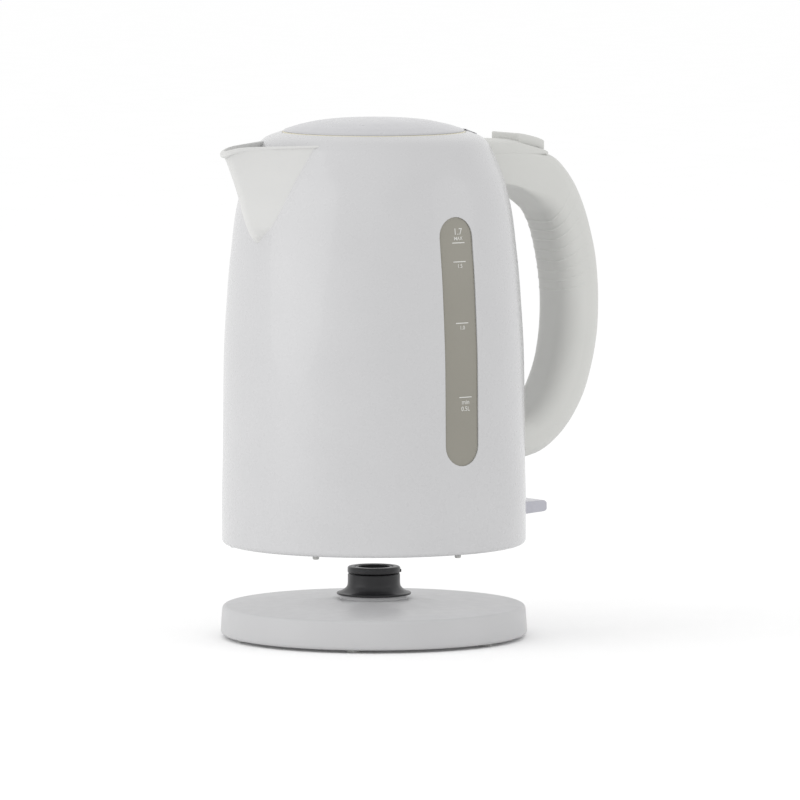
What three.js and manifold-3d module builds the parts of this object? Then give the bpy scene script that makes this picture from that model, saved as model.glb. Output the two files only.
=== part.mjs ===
// Cordless electric kettle of 1.7 litres on a round 360 degree power base.
// Millimetres, +Z up. The origin is on the base's axis, on the plane its rubber feet stand on.
// The handle points to +X, the spout to -X and the water gauge to -Y.
// The jug is modelled lifted off its base, as it is when somebody takes it up.
import * as THREE from 'three';
import { mergeVertices } from 'three/addons/utils/BufferGeometryUtils.js';
import Module from 'manifold-3d';

const wasm = await Module();
wasm.setup();

// ---------------------------------------------------------------- driving dimensions
const GAP = 0.3;
const FINE = 36;
const ROUND = 24;
const SMALL = 12;
const TINY = 8;

const base = {
  radius: 78.3, topRadius: 77.5, undersideZ: 1.6, rimZ: 16.6, domeZ: 19.6, bossRadius: 17.0, bossZ: 21.5,
  wall: 2.4, coverRadius: 75.1, coverTopZ: 3.4, footRadius: 3.4, footCircle: 71.2, feet: 6, firstFoot: -13,
  screwCircle: 48, firstScrew: 17, inletAngle: 90, inletZ: 8.2, inletHole: 4.6,
};
const plug = {
  neck: 13.4, neckBottomZ: 26.0, neckTopZ: 32.4, topZ: 36.2, flare: 19.05, flareZ: 22.6, stem: 12.0,
  bore: 8.2, floorZ: 20.6, spigot: 9.4,
};
const jug = {
  liftedZ: 49.4, bottomZ: -1.1, topZ: 203.4, wall: 2.4, ledgeZ: 21.5, ledgeRadius: 71.0,
};
const bottom = { screwCircle: 68.4, screwAngles: [60, 180, 300], nubCircle: 72, firstNub: -88.8, nubs: 6 };
const plate = { seatZ: 23.9, steamX: 57, steamTopZ: 186 };
const lid = {
  radius: 46.2, edgeZ: 209.6, plugRadius: 43.0, plugZ: 202.8, hingeX: 50.6, hingeZ: 205.4, barrel: 2.5,
  pin: 1.2, notchHalf: 16.4, barrelHalf: 9,
};
const gauge = { width: 20.4, lowZ: 44, highZ: 169.5, x: 1.0, gapWidth: 0.35 };
const grip = { width: 32, wall: 2.3, seam: 0.42 };
const cover = { halfWidth: 15.5, bottomZ: 196.5, pocketHalf: 12.4, roomHalf: 13.4, roomZ: 200.7 };
const latch = { roomX: [58, 99.8], roomHalf: 12.8, roomZ: [191.6, 200], springX: 90, springZ: 192.6 };
const lever = { pivotX: 69, pivotZ: 12.6, endX: 101.6, halfWidth: 11, thickness: 7.4 };
const trip = { pivotX: 32, pivotZ: 12.8, endX: 58.4, halfWidth: 3 };
const filter = { tilt: 15, x: -57.6, z: 180, halfWidth: 14, rim: 2.4 };

// Outer radius of the jug wall at each height.
const JUG_PROFILE = [
  [77.7, 1.4], [77.7, 20], [77.3, 42], [76.8, 87], [76.4, 102], [75.4, 119], [74.0, 138], [72.6, 151],
  [71.1, 164], [69.5, 173], [66.5, 185], [63.6, 192.5], [60.7, 199], [58.9, 203.0],
];

// ---------------------------------------------------------------- materials
function finish(colour, roughness, metalness = 0, opacity = 1) {
  return new THREE.MeshStandardMaterial({
    color: colour, roughness, metalness, opacity, transparent: opacity < 1,
  });
}
const gloss = finish(0xeeeeee, 0.2);
const satin = finish(0xe6e6e2, 0.45);
const gripWhite = finish(0xdedfd9, 0.5);
const black = finish(0x1c1c1e, 0.4);
const steel = finish(0xc4c6c8, 0.3, 1);
const brass = finish(0xc9a24a, 0.3, 1);
const silicone = finish(0xe9e4cf, 0.6);
const rubber = finish(0x9a9a98, 0.8);
const smoke = finish(0x9c988c, 0.15, 0, 0.5);
const lampRed = finish(0xb8321f, 0.2, 0, 0.7);
const leverGrey = finish(0xb8b8be, 0.3);

// ---------------------------------------------------------------- solid helpers
function signedVolume(positions, index) {
  const a = new THREE.Vector3();
  const b = new THREE.Vector3();
  const c = new THREE.Vector3();
  let sum = 0;
  for (let i = 0; i < index.length; i += 3) {
    a.fromArray(positions, index[i] * 3);
    b.fromArray(positions, index[i + 1] * 3);
    c.fromArray(positions, index[i + 2] * 3);
    sum += a.dot(b.cross(c));
  }
  return sum / 6;
}

// A closed three.js geometry becomes a solid that can be joined and cut.
function solid(geometry) {
  const bare = geometry.clone();
  bare.deleteAttribute('normal');
  bare.deleteAttribute('uv');
  const merged = mergeVertices(bare, 1e-4);
  const index = Array.from(merged.index.array);
  const positions = merged.attributes.position.array;
  const faces = [];
  for (let i = 0; i < index.length; i += 3) {
    const [a, b, c] = index.slice(i, i + 3);
    if (a !== b && b !== c && c !== a) faces.push(a, b, c);
  }
  if (signedVolume(positions, faces) < 0) faces.reverse();
  return new wasm.Manifold(new wasm.Mesh({
    numProp: 3, vertProperties: new Float32Array(positions), triVerts: new Uint32Array(faces),
  }));
}

function geometryOf(shape) {
  const mesh = shape.getMesh();
  const geometry = new THREE.BufferGeometry();
  geometry.setAttribute('position', new THREE.BufferAttribute(new Float32Array(mesh.vertProperties), 3));
  geometry.setIndex(new THREE.BufferAttribute(new Uint32Array(mesh.triVerts), 1));
  geometry.computeVertexNormals();
  return geometry;
}

function joinAll(first, ...others) {
  return others.reduce((sum, item) => sum.add(item), first);
}

function cutAll(first, ...others) {
  return others.reduce((rest, item) => rest.subtract(item), first);
}

// Turns an outline of [radius, z] points about the Z axis.
function turned(outline, segments = FINE) {
  const points = outline.map(([radius, z]) => new THREE.Vector2(radius, z));
  return solid(new THREE.LatheGeometry(points, segments).rotateX(Math.PI / 2));
}

// A ring's outline closes on itself.
function turnedRing(outline, segments = FINE) {
  return turned([...outline, outline[0]], segments);
}

function disc(radius, z0, z1, x = 0, y = 0, segments = SMALL) {
  const geometry = new THREE.CylinderGeometry(radius, radius, z1 - z0, segments).rotateX(Math.PI / 2);
  return solid(geometry.translate(x, y, (z0 + z1) / 2));
}

function tube(inner, outer, z0, z1, x = 0, y = 0, segments = SMALL) {
  return disc(outer, z0, z1, x, y, segments).subtract(disc(inner, z0 - 1, z1 + 1, x, y, segments));
}

function block(x0, x1, y0, y1, z0, z1) {
  const geometry = new THREE.BoxGeometry(x1 - x0, y1 - y0, z1 - z0);
  return solid(geometry.translate((x0 + x1) / 2, (y0 + y1) / 2, (z0 + z1) / 2));
}

// A rod along Y, centred on y = 0 unless moved.
function crossRod(radius, length, x, z, y = 0, segments = SMALL) {
  return solid(new THREE.CylinderGeometry(radius, radius, length, segments).translate(x, y, z));
}

// Extrudes an outline drawn in the XZ plane symmetrically along Y, with rounded long edges if asked.
function sideProfile(shape, width, bevel = 0) {
  const geometry = new THREE.ExtrudeGeometry(shape, {
    depth: width - 2 * bevel, bevelEnabled: bevel > 0, bevelSize: bevel, bevelThickness: bevel,
    bevelOffset: -bevel, bevelSegments: 1,
  });
  return solid(geometry.translate(0, 0, bevel - width / 2).rotateX(Math.PI / 2));
}

function polygon(points) {
  return new THREE.Shape(points.map(([x, z]) => new THREE.Vector2(x, z)));
}

function polar(radius, degrees) {
  const angle = THREE.MathUtils.degToRad(degrees);
  return [radius * Math.cos(angle), radius * Math.sin(angle)];
}

// ---------------------------------------------------------------- scene groups
const kettle = new THREE.Group();
const jugGroup = new THREE.Group();
jugGroup.position.z = jug.liftedZ;
kettle.add(jugGroup);

function place(parent, name, shape, material) {
  const mesh = new THREE.Mesh(geometryOf(shape), material);
  mesh.name = name;
  parent.add(mesh);
  return mesh;
}

// ---------------------------------------------------------------- power base
function baseScrewPlace(i) {
  return polar(base.screwCircle, base.firstScrew + 120 * i);
}

function baseTopShell() {
  const innerTop = base.rimZ - base.wall;
  const slopeDrop = (base.domeZ - base.rimZ) * 0.04;
  const shell = turnedRing([
    [base.coverRadius + GAP, base.undersideZ], [76.7, base.undersideZ], [77.8, 2.1], [base.radius, 3.3],
    [base.topRadius + 0.3, base.rimZ - 2.0], [base.topRadius - 0.4, base.rimZ - 0.7],
    [base.topRadius - 1.6, base.rimZ],
    [base.bossRadius + 14, base.domeZ - slopeDrop], [base.bossRadius, base.domeZ],
    [base.bossRadius, base.bossZ], [plug.stem + GAP, base.bossZ],
    [plug.stem + GAP, base.domeZ - base.wall], [base.bossRadius + 14, base.domeZ - base.wall],
    [base.coverRadius - 1, innerTop], [base.coverRadius + GAP, innerTop - 1.5],
  ]);
  const posts = [0, 1, 2].map((i) => {
    const [x, y] = baseScrewPlace(i);
    return disc(3.4, base.coverTopZ + GAP, base.rimZ + 0.6, x, y, TINY)
      .subtract(disc(1.5, 0, 11, x, y, TINY));
  });
  return cutAll(joinAll(shell, ...posts), cordHole(base.inletHole));
}

function cordHole(radius) {
  const angle = THREE.MathUtils.degToRad(base.inletAngle);
  const rod = new THREE.CylinderGeometry(radius, radius, 16, SMALL).rotateZ(Math.PI / 2);
  return solid(rod.translate(base.radius - 3, 0, base.inletZ).rotateZ(angle));
}

function cordInlet() {
  const angle = THREE.MathUtils.degToRad(base.inletAngle);
  const sleeve = new THREE.CylinderGeometry(4.2, 4.2, 7, SMALL).rotateZ(Math.PI / 2);
  const bore = new THREE.CylinderGeometry(3.25, 3.25, 12, SMALL).rotateZ(Math.PI / 2);
  const ring = solid(sleeve.translate(base.radius - 4, 0, base.inletZ))
    .subtract(solid(bore.translate(base.radius - 4, 0, base.inletZ)));
  return ring.rotate([0, 0, THREE.MathUtils.radToDeg(angle)]);
}

function baseBottomCover() {
  const plate = turned([
    [0, base.undersideZ], [base.coverRadius, base.undersideZ],
    [base.coverRadius, base.coverTopZ], [0, base.coverTopZ],
  ]);
  const holes = [0, 1, 2].map((i) => {
    const [x, y] = baseScrewPlace(i);
    return disc(1.8, 0, 5, x, y, TINY).add(disc(3.1, 0, 2.4, x, y, TINY));
  });
  return cutAll(plate, ...holes);
}

function baseScrew(i) {
  const [x, y] = baseScrewPlace(i);
  return disc(2.7, base.undersideZ - 0.1 + GAP, 2.35, x, y, TINY).add(disc(1.2, 2.2, 9.5, x, y, TINY));
}

function baseFoot(i) {
  const [x, y] = polar(base.footCircle, base.firstFoot + (360 / base.feet) * i);
  const profile = [[0, 0], [base.footRadius - 0.5, 0], [base.footRadius, 0.5]];
  const top = base.undersideZ - GAP;
  return turned([...profile, [base.footRadius, top], [0, top]], SMALL).translate([x, y, 0]);
}

function connectorPlug() {
  return turned([
    [0, 6], [plug.stem, 6], [plug.stem, base.bossZ + GAP], [plug.flare, base.bossZ + GAP],
    [plug.flare, plug.flareZ], [16.2, plug.flareZ + 0.7], [14.4, plug.flareZ + 1.9],
    [plug.neck, plug.neckBottomZ],
    [plug.neck, plug.neckTopZ], [plug.spigot, plug.neckTopZ], [plug.spigot, plug.topZ - 0.4],
    [plug.bore, plug.topZ - 0.4], [plug.bore, plug.floorZ], [0, plug.floorZ],
  ], ROUND);
}

function connectorCollar() {
  const z0 = plug.neckTopZ + 0.5;
  return turnedRing([
    [plug.spigot + 0.4, z0], [plug.neck + 0.1, z0], [plug.neck + 0.1, plug.topZ - 0.7],
    [plug.neck - 0.6, plug.topZ], [plug.spigot + 0.4, plug.topZ],
  ], ROUND);
}

function buildBase() {
  place(kettle, 'base_top_shell', baseTopShell(), satin);
  place(kettle, 'base_bottom_cover', baseBottomCover(), satin);
  place(kettle, 'cord_inlet', cordInlet(), black);
  for (let i = 0; i < 3; i += 1) place(kettle, `base_screw_${i + 1}`, baseScrew(i), steel);
  for (let i = 0; i < base.feet; i += 1) place(kettle, `base_foot_${i + 1}`, baseFoot(i), rubber);
  place(kettle, 'connector_plug', connectorPlug(), black);
  place(kettle, 'plug_ring_contact', tube(7.2, 7.8, plug.floorZ + GAP, 29.0, 0, 0, ROUND), brass);
  place(kettle, 'plug_centre_contact', tube(3.2, 4.0, plug.floorZ + GAP, 28.6), brass);
  place(kettle, 'connector_collar', connectorCollar(), black);
}

// ---------------------------------------------------------------- jug
function outerWall(shrink = 0) {
  return JUG_PROFILE.map(([radius, z]) => [radius - shrink, z]);
}

function jugCore() {
  const top = jug.topZ;
  return turned([[0, jug.bottomZ], [75.6, jug.bottomZ], [77.0, -0.4], ...outerWall(), [58.6, top], [0, top]]);
}

function jugHollow() {
  const inner = outerWall(jug.wall);
  return turned([
    [0, jug.bottomZ - 2], [inner[0][0], jug.bottomZ - 2], ...inner.slice(1), [56.3, jug.topZ + 2],
    [0, jug.topZ + 2],
  ]);
}

function pill(width, low, high, y0, y1) {
  const r = width / 2;
  const shape = new THREE.Shape();
  shape.absarc(0, high - r, r, 0, Math.PI, false);
  shape.absarc(0, low + r, r, Math.PI, 2 * Math.PI, false);
  shape.closePath();
  const options = { depth: y1 - y0, bevelEnabled: false, curveSegments: 6 };
  const geometry = new THREE.ExtrudeGeometry(shape, options);
  return solid(geometry.rotateX(Math.PI / 2).translate(gauge.x, y1, 0));
}

// The beak is a stack of level sections: straight sides from the jug wall to a round nose.
const BEAK = [
  { z: 156.4, half: 3.0, nose: 73.2 }, { z: 160, half: 9.4, nose: 76.6 },
  { z: 165.6, half: 14.9, nose: 79.2 }, { z: 172, half: 17.4, nose: 80.6 },
  { z: 181, half: 20.0, nose: 83.0 }, { z: 190, half: 22.4, nose: 86.4 },
  { z: 196, half: 23.8, nose: 89.2 }, { z: 202.4, half: 25.6, nose: 92.6 },
];
const BEAK_ROOT = 48;
const NOSE_STEPS = 6;

function beakSection({ z, half, nose }, inset) {
  const tip = Math.min(5, half * 0.45) - inset * 0.3;
  const wide = Math.max(half - inset, 0.6);
  const reach = nose - inset;
  const points = [[-BEAK_ROOT, -wide], [-BEAK_ROOT - 8, -wide]];
  for (let i = 0; i <= NOSE_STEPS; i += 1) {
    const angle = -Math.PI / 3 + ((2 * Math.PI) / 3) * (i / NOSE_STEPS);
    points.push([-(reach - tip + tip * Math.cos(angle)), tip * Math.sin(angle)]);
  }
  points.push([-BEAK_ROOT - 8, wide], [-BEAK_ROOT, wide]);
  return points.reverse().map(([x, y]) => new THREE.Vector3(x, y, z));
}

// Skins a stack of rings that have equal point counts, with flat fan caps.
function loft(rings, flat) {
  const count = rings[0].length;
  const positions = [];
  rings.forEach((ring) => ring.forEach((p) => positions.push(p.x, p.y, p.z)));
  const index = [];
  for (let r = 0; r + 1 < rings.length; r += 1) {
    for (let i = 0; i < count; i += 1) {
      const a = r * count + i;
      const b = r * count + ((i + 1) % count);
      index.push(a, b, b + count, a, b + count, a + count);
    }
  }
  const last = (rings.length - 1) * count;
  THREE.ShapeUtils.triangulateShape(flat, []).forEach(([a, b, c]) => {
    index.push(a, c, b);
    index.push(last + a, last + b, last + c);
  });
  const geometry = new THREE.BufferGeometry();
  geometry.setAttribute('position', new THREE.Float32BufferAttribute(positions, 3));
  geometry.setIndex(index);
  return solid(geometry);
}

function levelLoft(rings) {
  return loft(rings, rings[0].map((p) => new THREE.Vector2(p.x, p.y)));
}

function beakSolid() {
  return levelLoft(BEAK.map((section) => beakSection(section, 0)));
}

function beakChannel(inset) {
  const raised = BEAK.slice(1).map((section) => ({ ...section, z: section.z + inset }));
  const sections = raised.map((section) => beakSection(section, inset));
  const top = beakSection({ ...BEAK[BEAK.length - 1], z: 230 }, inset);
  return levelLoft([...sections, top]);
}

function spoutBeak() {
  const wallSkin = turned([[0, 100], ...outerWall(-GAP).slice(4), [59.1, 230], [0, 230]]);
  return cutAll(beakSolid(), wallSkin, beakChannel(2.1));
}

function screwPosts() {
  return bottom.screwAngles.map((angle) => {
    const [x, y] = polar(bottom.screwCircle, angle);
    return disc(3.4, 6.9, 22, x, y, TINY).subtract(disc(1.7, 0, 17, x, y, TINY));
  });
}

function jugShell() {
  const ledge = turnedRing([
    [jug.ledgeRadius, jug.ledgeZ], [76, jug.ledgeZ], [76, plate.seatZ], [jug.ledgeRadius, plate.seatZ],
  ]);
  const shell = joinAll(jugCore().subtract(jugHollow()), ledge, ...screwPosts());
  const pourHole = beakChannel(4).intersect(block(-90, -50, -40, 40, 160, 197));
  const window = pill(gauge.width, gauge.lowZ, gauge.highZ, -90, -60);
  const leverSlot = block(70, 84, -lever.halfWidth - 1, lever.halfWidth + 1, 4.8, 18.6);
  return cutAll(shell, pourHole, window, leverSlot);
}

function wallSlice(outerShrink, innerShrink) {
  const low = gauge.lowZ - 10;
  const high = gauge.highZ + 8;
  const rows = [[77.6, low], [77.3, 42], [76.8, 87], [76.4, 102], [75.4, 119], [74.0, 138], [72.6, 151],
    [71.1, 164], [69.5, 173], [68.6, high]];
  const outside = rows.map(([radius, z]) => [radius - outerShrink, z]);
  const inside = rows.map(([radius, z]) => [radius - innerShrink, z]).reverse();
  return turnedRing([...outside, ...inside]);
}

function waterWindow() {
  const inset = gauge.gapWidth;
  const pane = pill(gauge.width - 2 * inset, gauge.lowZ + inset, gauge.highZ - inset, -90, -60);
  return pane.intersect(wallSlice(0.9, jug.wall + 0.1));
}

function windowGasket() {
  const outside = pill(gauge.width + 5, gauge.lowZ - 2.5, gauge.highZ + 2.5, -90, -50);
  const inside = pill(gauge.width - 2, gauge.lowZ + 1, gauge.highZ - 1, -90, -50);
  return outside.subtract(inside).intersect(wallSlice(jug.wall + 0.45, jug.wall + 1.9));
}

function topCollar() {
  const ring = turnedRing([
    [56.1, 203.7], [57.9, 203.7], [57.3, 204.7], [54.9, 206.6], [52.4, 207.8], [47.9, 209.3], [46.9, 209.1],
    [46.9, 202.2], [48.7, 202.2], [48.7, 207.1], [52.3, 206.2], [54.1, 204.7], [54.1, 197.2], [56.1, 197.2],
  ]);
  const lugs = [-1, 1].map((side) => {
    const y = [side * lid.notchHalf, side * (lid.notchHalf + 3)].sort((p, q) => p - q);
    return block(lid.hingeX - 2, lid.hingeX + 1.8, y[0], y[1], 203.0, 205.9);
  });
  const notch = block(44, 55.9, -lid.notchHalf, lid.notchHalf, 200, 212);
  const pinHole = crossRod(lid.pin + GAP, 60, lid.hingeX, lid.hingeZ);
  const pourGap = block(-60, -52, -20, 20, 190, 202.4);
  return cutAll(joinAll(ring, ...lugs), notch, pinHole, pourGap);
}

function plateParts() {
  const plateZ = plate.seatZ;
  place(jugGroup, 'plate_seal', turnedRing([
    [71.4, plateZ + GAP], [74.8, plateZ + GAP], [74.8, plateZ + 1.8], [71.4, plateZ + 1.8],
  ]), silicone);
  const steam = disc(4.1, plateZ - 5, plateZ + 9, plate.steamX, 0);
  place(jugGroup, 'heating_plate', turned([
    [0, plateZ + 2.1], [74.6, plateZ + 2.1], [74.6, plateZ + 3.1], [0, plateZ + 3.1],
  ]).subtract(steam), steel);
  place(jugGroup, 'plate_clamp_ring', turnedRing([
    [71.6, plateZ + 3.4], [74.6, plateZ + 3.4], [74.6, plateZ + 5.4], [71.6, plateZ + 5.4],
  ]), satin);
  place(jugGroup, 'steam_tube', tube(2.4, 3.8, plateZ - 1, plate.steamTopZ, plate.steamX), satin);
}

class FlatArc extends THREE.Curve {
  constructor(radius, z, start, sweep) {
    super();
    Object.assign(this, { radius, z, start, sweep });
  }

  getPoint(t) {
    const [x, y] = polar(this.radius, this.start + this.sweep * t);
    return new THREE.Vector3(x, y, this.z);
  }
}

function roundWire(path, radius, steps, sides = 8) {
  const section = new THREE.Shape();
  for (let i = 0; i < sides; i += 1) {
    const [x, y] = polar(radius, (360 / sides) * i);
    if (i === 0) section.moveTo(x, y);
    else section.lineTo(x, y);
  }
  section.closePath();
  return solid(new THREE.ExtrudeGeometry(section, { steps, bevelEnabled: false, extrudePath: path }));
}

function heatingElement() {
  return roundWire(new FlatArc(45, 22.2, 30, 300), 3.2, 24);
}

function controlHousing() {
  const body = block(-26, 26, -26, 26, 9, 22.6);
  return cutAll(body, disc(23.4, 0, 19.8, 0, 0, ROUND), block(20, 30, -4.5, 4.5, 8, 19));
}

function kettleSocket() {
  return turned([
    [0, 17.8], [14.4, 17.8], [14.4, 7.9], [20.2, 3.3], [22.9, 3.3], [22.9, 19.4], [0, 19.4],
  ], ROUND).subtract(block(19, 26, -4.5, 4.5, 9.5, 16));
}

function bottomCover() {
  const dish = turnedRing([
    [23.6, 4.2], [62, 4.2], [64.6, -0.6], [74.9, -0.6], [74.9, 1.6], [66.4, 1.6], [63.7, 6.4], [23.6, 6.4],
  ]);
  const holes = bottom.screwAngles.map((angle) => {
    const [x, y] = polar(bottom.screwCircle, angle);
    return disc(1.8, -4, 8, x, y, TINY).add(disc(3.3, -4, 0.4, x, y, TINY));
  });
  const nubs = Array.from({ length: bottom.nubs }, (_, i) => {
    const [x, y] = polar(bottom.nubCircle, bottom.firstNub + (360 / bottom.nubs) * i);
    return disc(1.5, -2.9, 0, x, y, TINY);
  });
  return cutAll(joinAll(dish, ...nubs), ...holes);
}

function bottomScrew(angle) {
  const [x, y] = polar(bottom.screwCircle, angle);
  return disc(2.9, -0.9, 0.1, x, y, TINY).add(disc(1.4, 0, 15.5, x, y, TINY));
}

function buildJug() {
  place(jugGroup, 'jug_shell', jugShell(), gloss);
  place(jugGroup, 'spout_beak', spoutBeak(), satin);
  place(jugGroup, 'top_collar', topCollar(), gloss);
  place(jugGroup, 'water_window', waterWindow(), smoke);
  place(jugGroup, 'window_gasket', windowGasket(), silicone);
  plateParts();
  place(jugGroup, 'heating_element', heatingElement(), steel);
  place(jugGroup, 'control_housing', controlHousing(), black);
  place(jugGroup, 'kettle_socket', kettleSocket(), black);
  place(jugGroup, 'socket_centre_pin', disc(2.2, 7.2, 17.5, 0, 0, TINY), brass);
  place(jugGroup, 'socket_ring_contact', tube(5.0, 5.8, 7.2, 17.5), brass);
  place(jugGroup, 'bimetal_disc_1', disc(6.5, 22.9, 23.5, -12, 12), steel);
  place(jugGroup, 'bimetal_disc_2', disc(6.5, 22.9, 23.5, -12, -12), steel);
  place(jugGroup, 'bottom_cover', bottomCover(), gloss);
  bottom.screwAngles.forEach((angle, i) => {
    place(jugGroup, `bottom_screw_${i + 1}`, bottomScrew(angle), steel);
  });
}

// ---------------------------------------------------------------- lid, its hinge and its button
function lidOuter() {
  const cap = turned([
    [0, 214.3], [20, 213.6], [30, 212.7], [39, 211.0], [40, lid.edgeZ], [lid.radius, lid.edgeZ],
    [lid.radius, 210.0], [43.6, 211.2], [40.4, 212.2], [37, 213.1], [29, 214.7], [20, 215.8], [10, 216.2],
    [0, 216.4],
  ]);
  const tongue = sideProfile(polygon([
    [41.5, lid.edgeZ], [46.4, lid.edgeZ], [46.4, 208.8], [49.0, 208.3], [53.2, 208.2], [53.2, 209.0],
    [47.2, 210.2], [41.5, 211.2],
  ]), 2 * lid.notchHalf - 1.2);
  return cap.add(tongue);
}

function lidInner() {
  const tray = turned([
    [0, 206.9], [41.2, 206.9], [41.2, lid.plugZ], [lid.plugRadius, lid.plugZ], [lid.plugRadius, 208.9],
    [32, 208.9], [32, 210.9], [30, 210.9], [30, 208.9], [0, 208.9],
  ]);
  const arm = block(40, lid.hingeX, -lid.barrelHalf, lid.barrelHalf, lid.hingeZ - 1.6, 207.0);
  const barrel = crossRod(lid.barrel, 2 * lid.barrelHalf, lid.hingeX, lid.hingeZ);
  const hole = crossRod(lid.pin + GAP, 60, lid.hingeX, lid.hingeZ);
  return cutAll(joinAll(tray, arm, barrel), hole);
}

function lidSeal() {
  return turnedRing([[43.3, 207.3], [45.5, 207.3], [45.5, 209.3], [43.3, 209.3]]);
}

class SpringCoil extends THREE.Curve {
  constructor(radius, turns, length) {
    super();
    Object.assign(this, { radius, turns, length });
  }

  getPoint(t) {
    const angle = 2 * Math.PI * this.turns * t;
    return new THREE.Vector3(this.radius * Math.cos(angle), this.radius * Math.sin(angle), this.length * t);
  }
}

function coilSpring(radius, wire, turns, length) {
  return roundWire(new SpringCoil(radius, turns, length), wire, Math.round(turns * 9), 5);
}

function lidSpring() {
  const coil = coilSpring(2.1, 0.4, 3, 4.6);
  return coil.rotate([-90, 0, 0]).translate([lid.hingeX, 10.2, lid.hingeZ]);
}

// Stations along the grip from the top down: an outer and an inner point of its side outline, the
// rounding of its edges, and how much thicker its back wall is under the top cover.
const GRIP_STATIONS = [
  { outer: [66, 196.2], inner: [66, 181.2], round: 1, pad: 4.6 },
  { outer: [82, 196.2], inner: [80, 178.9], round: 1, pad: 4.6 },
  { outer: [96, 196.0], inner: [89.5, 174.0], round: 1.5, pad: 4.6 },
  { outer: [104.4, 194.0], inner: [95.6, 169.6], round: 4, pad: 2.4 },
  { outer: [111.6, 188.4], inner: [100.4, 164.3], round: 6.5, pad: 0 },
  { outer: [119.4, 178.8], inner: [104.2, 157.6], round: 8, pad: 0 },
  { outer: [125.2, 167.4], inner: [106.9, 150.0], round: 8, pad: 0 },
  { outer: [129.5, 155.2], inner: [109.2, 140.6], round: 8, pad: 0 },
  { outer: [132.7, 141.6], inner: [110.9, 131.0], round: 8, pad: 0 },
  { outer: [134.3, 125.9], inner: [111.8, 120.5], round: 8, pad: 0 },
  { outer: [134.4, 110.8], inner: [111.7, 108.8], round: 8, pad: 0 },
  { outer: [132.9, 98.4], inner: [110.6, 98.2], round: 8, pad: 0 },
  { outer: [129.6, 84.4], inner: [108.2, 87.4], round: 8, pad: 0 },
  { outer: [124.6, 70.0], inner: [103.8, 76.8], round: 8, pad: 0 },
  { outer: [116.4, 57.2], inner: [98.2, 68.2], round: 8, pad: 0 },
  { outer: [106.0, 47.2], inner: [91.6, 61.6], round: 8, pad: 0 },
  { outer: [94.0, 40.6], inner: [85.5, 58.4], round: 8, pad: 0 },
  { outer: [76, 37.4], inner: [76, 57.2], round: 8, pad: 0 },
];

// Half of the grip's hollow section, open at the seam: u runs across the grip, v from palm side to back.
function gripSection(thickness, round, pad, back) {
  const wide = grip.width / 2;
  const r = Math.min(round, thickness * 0.36);
  const depth = thickness * (back ? 1 - grip.seam : grip.seam) - GAP / 2;
  const roof = depth - grip.wall - (back ? pad : 0);
  const points = [[wide, 0]];
  [0, 1].forEach((side) => {
    for (let i = 0; i <= 3; i += 1) {
      const angle = (Math.PI / 2) * (side + i / 3);
      const centre = side === 0 ? wide - r : r - wide;
      points.push([centre + r * Math.cos(angle), depth - r + r * Math.sin(angle)]);
    }
  });
  points.push([-wide, 0], [grip.wall - wide, 0]);
  points.push([grip.wall + 1.6 - wide, roof], [wide - grip.wall - 1.6, roof]);
  points.push([wide - grip.wall, 0]);
  return points;
}

function gripShell(back) {
  const rings = GRIP_STATIONS.map(({ outer, inner, round, pad }) => {
    const palm = new THREE.Vector3(inner[0], 0, inner[1]);
    const away = new THREE.Vector3(outer[0], 0, outer[1]).sub(palm);
    const thickness = away.length();
    away.normalize();
    const seam = palm.clone().addScaledVector(away, thickness * grip.seam + (back ? GAP / 2 : -GAP / 2));
    return gripSection(thickness, round, pad, back).map(([u, v]) => {
      const point = seam.clone().addScaledVector(away, back ? v : -v);
      point.y = u;
      return point;
    });
  });
  const flat = gripSection(20, 4, 0, back).map(([u, v]) => new THREE.Vector2(u, v));
  return loft(rings, flat).subtract(jugKeepOut(GAP));
}

// The room for the button's spring and the latch is sunk into the back shell's thick top.
function gripOuterShell() {
  const room = block(...latch.roomX, -latch.roomHalf, latch.roomHalf, ...latch.roomZ);
  return gripShell(true).subtract(room);
}

function jugKeepOut(extra) {
  return turned([[0, -20], [77.7 + extra, -20], ...outerWall(-extra), [58.9 + extra, 204], [0, 204]]);
}

function topCover() {
  const outside = sideProfile(polygon([
    [54, cover.bottomZ], [54, 203.0], [66, 202.5], [76, 202.0], [81.7, 201.6], [87, 199.9], [96, 197.6],
    [98.4, cover.bottomZ],
  ]), 2 * cover.halfWidth);
  const inside = block(62, 96, -cover.roomHalf, cover.roomHalf, 190, cover.roomZ);
  const pocket = block(81.7, 99.5, -cover.pocketHalf, cover.pocketHalf, 195.4, 210);
  const keepOut = turned([
    [0, 180], [67.8 + GAP, 180], ...outerWall(-GAP).slice(10), [59.2, 203.0], [58.0, 203.9], [57.7, 204.9],
    [55.6, 207.0], [55.6, 215], [0, 215],
  ]);
  return cutAll(outside, inside, pocket, keepOut, block(50, 60, -20, 20, 180, 206));
}

function lidButton() {
  const slab = sideProfile(polygon([
    [82.1, 198.4], [82.1, 205.4], [82.9, 206.2], [90.2, 204.7], [96.0, 202.8], [99.1, 201.1], [99.1, 198.4],
  ]), 24);
  return slab.subtract(disc(3.2, 190, 200.6, latch.springX));
}

function latchSlider() {
  const bar = block(66, 84, -3, 3, 193.4, 196.0);
  return bar.add(block(66, 68.4, -3, 3, 193.4, 200.4));
}

function buildLid() {
  place(jugGroup, 'lid_outer', lidOuter(), gloss);
  place(jugGroup, 'lid_inner', lidInner(), satin);
  place(jugGroup, 'lid_seal', lidSeal(), silicone);
  place(jugGroup, 'lid_hinge_pin', crossRod(lid.pin, 38, lid.hingeX, lid.hingeZ), steel);
  place(jugGroup, 'lid_spring', lidSpring(), steel);
}

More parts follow.
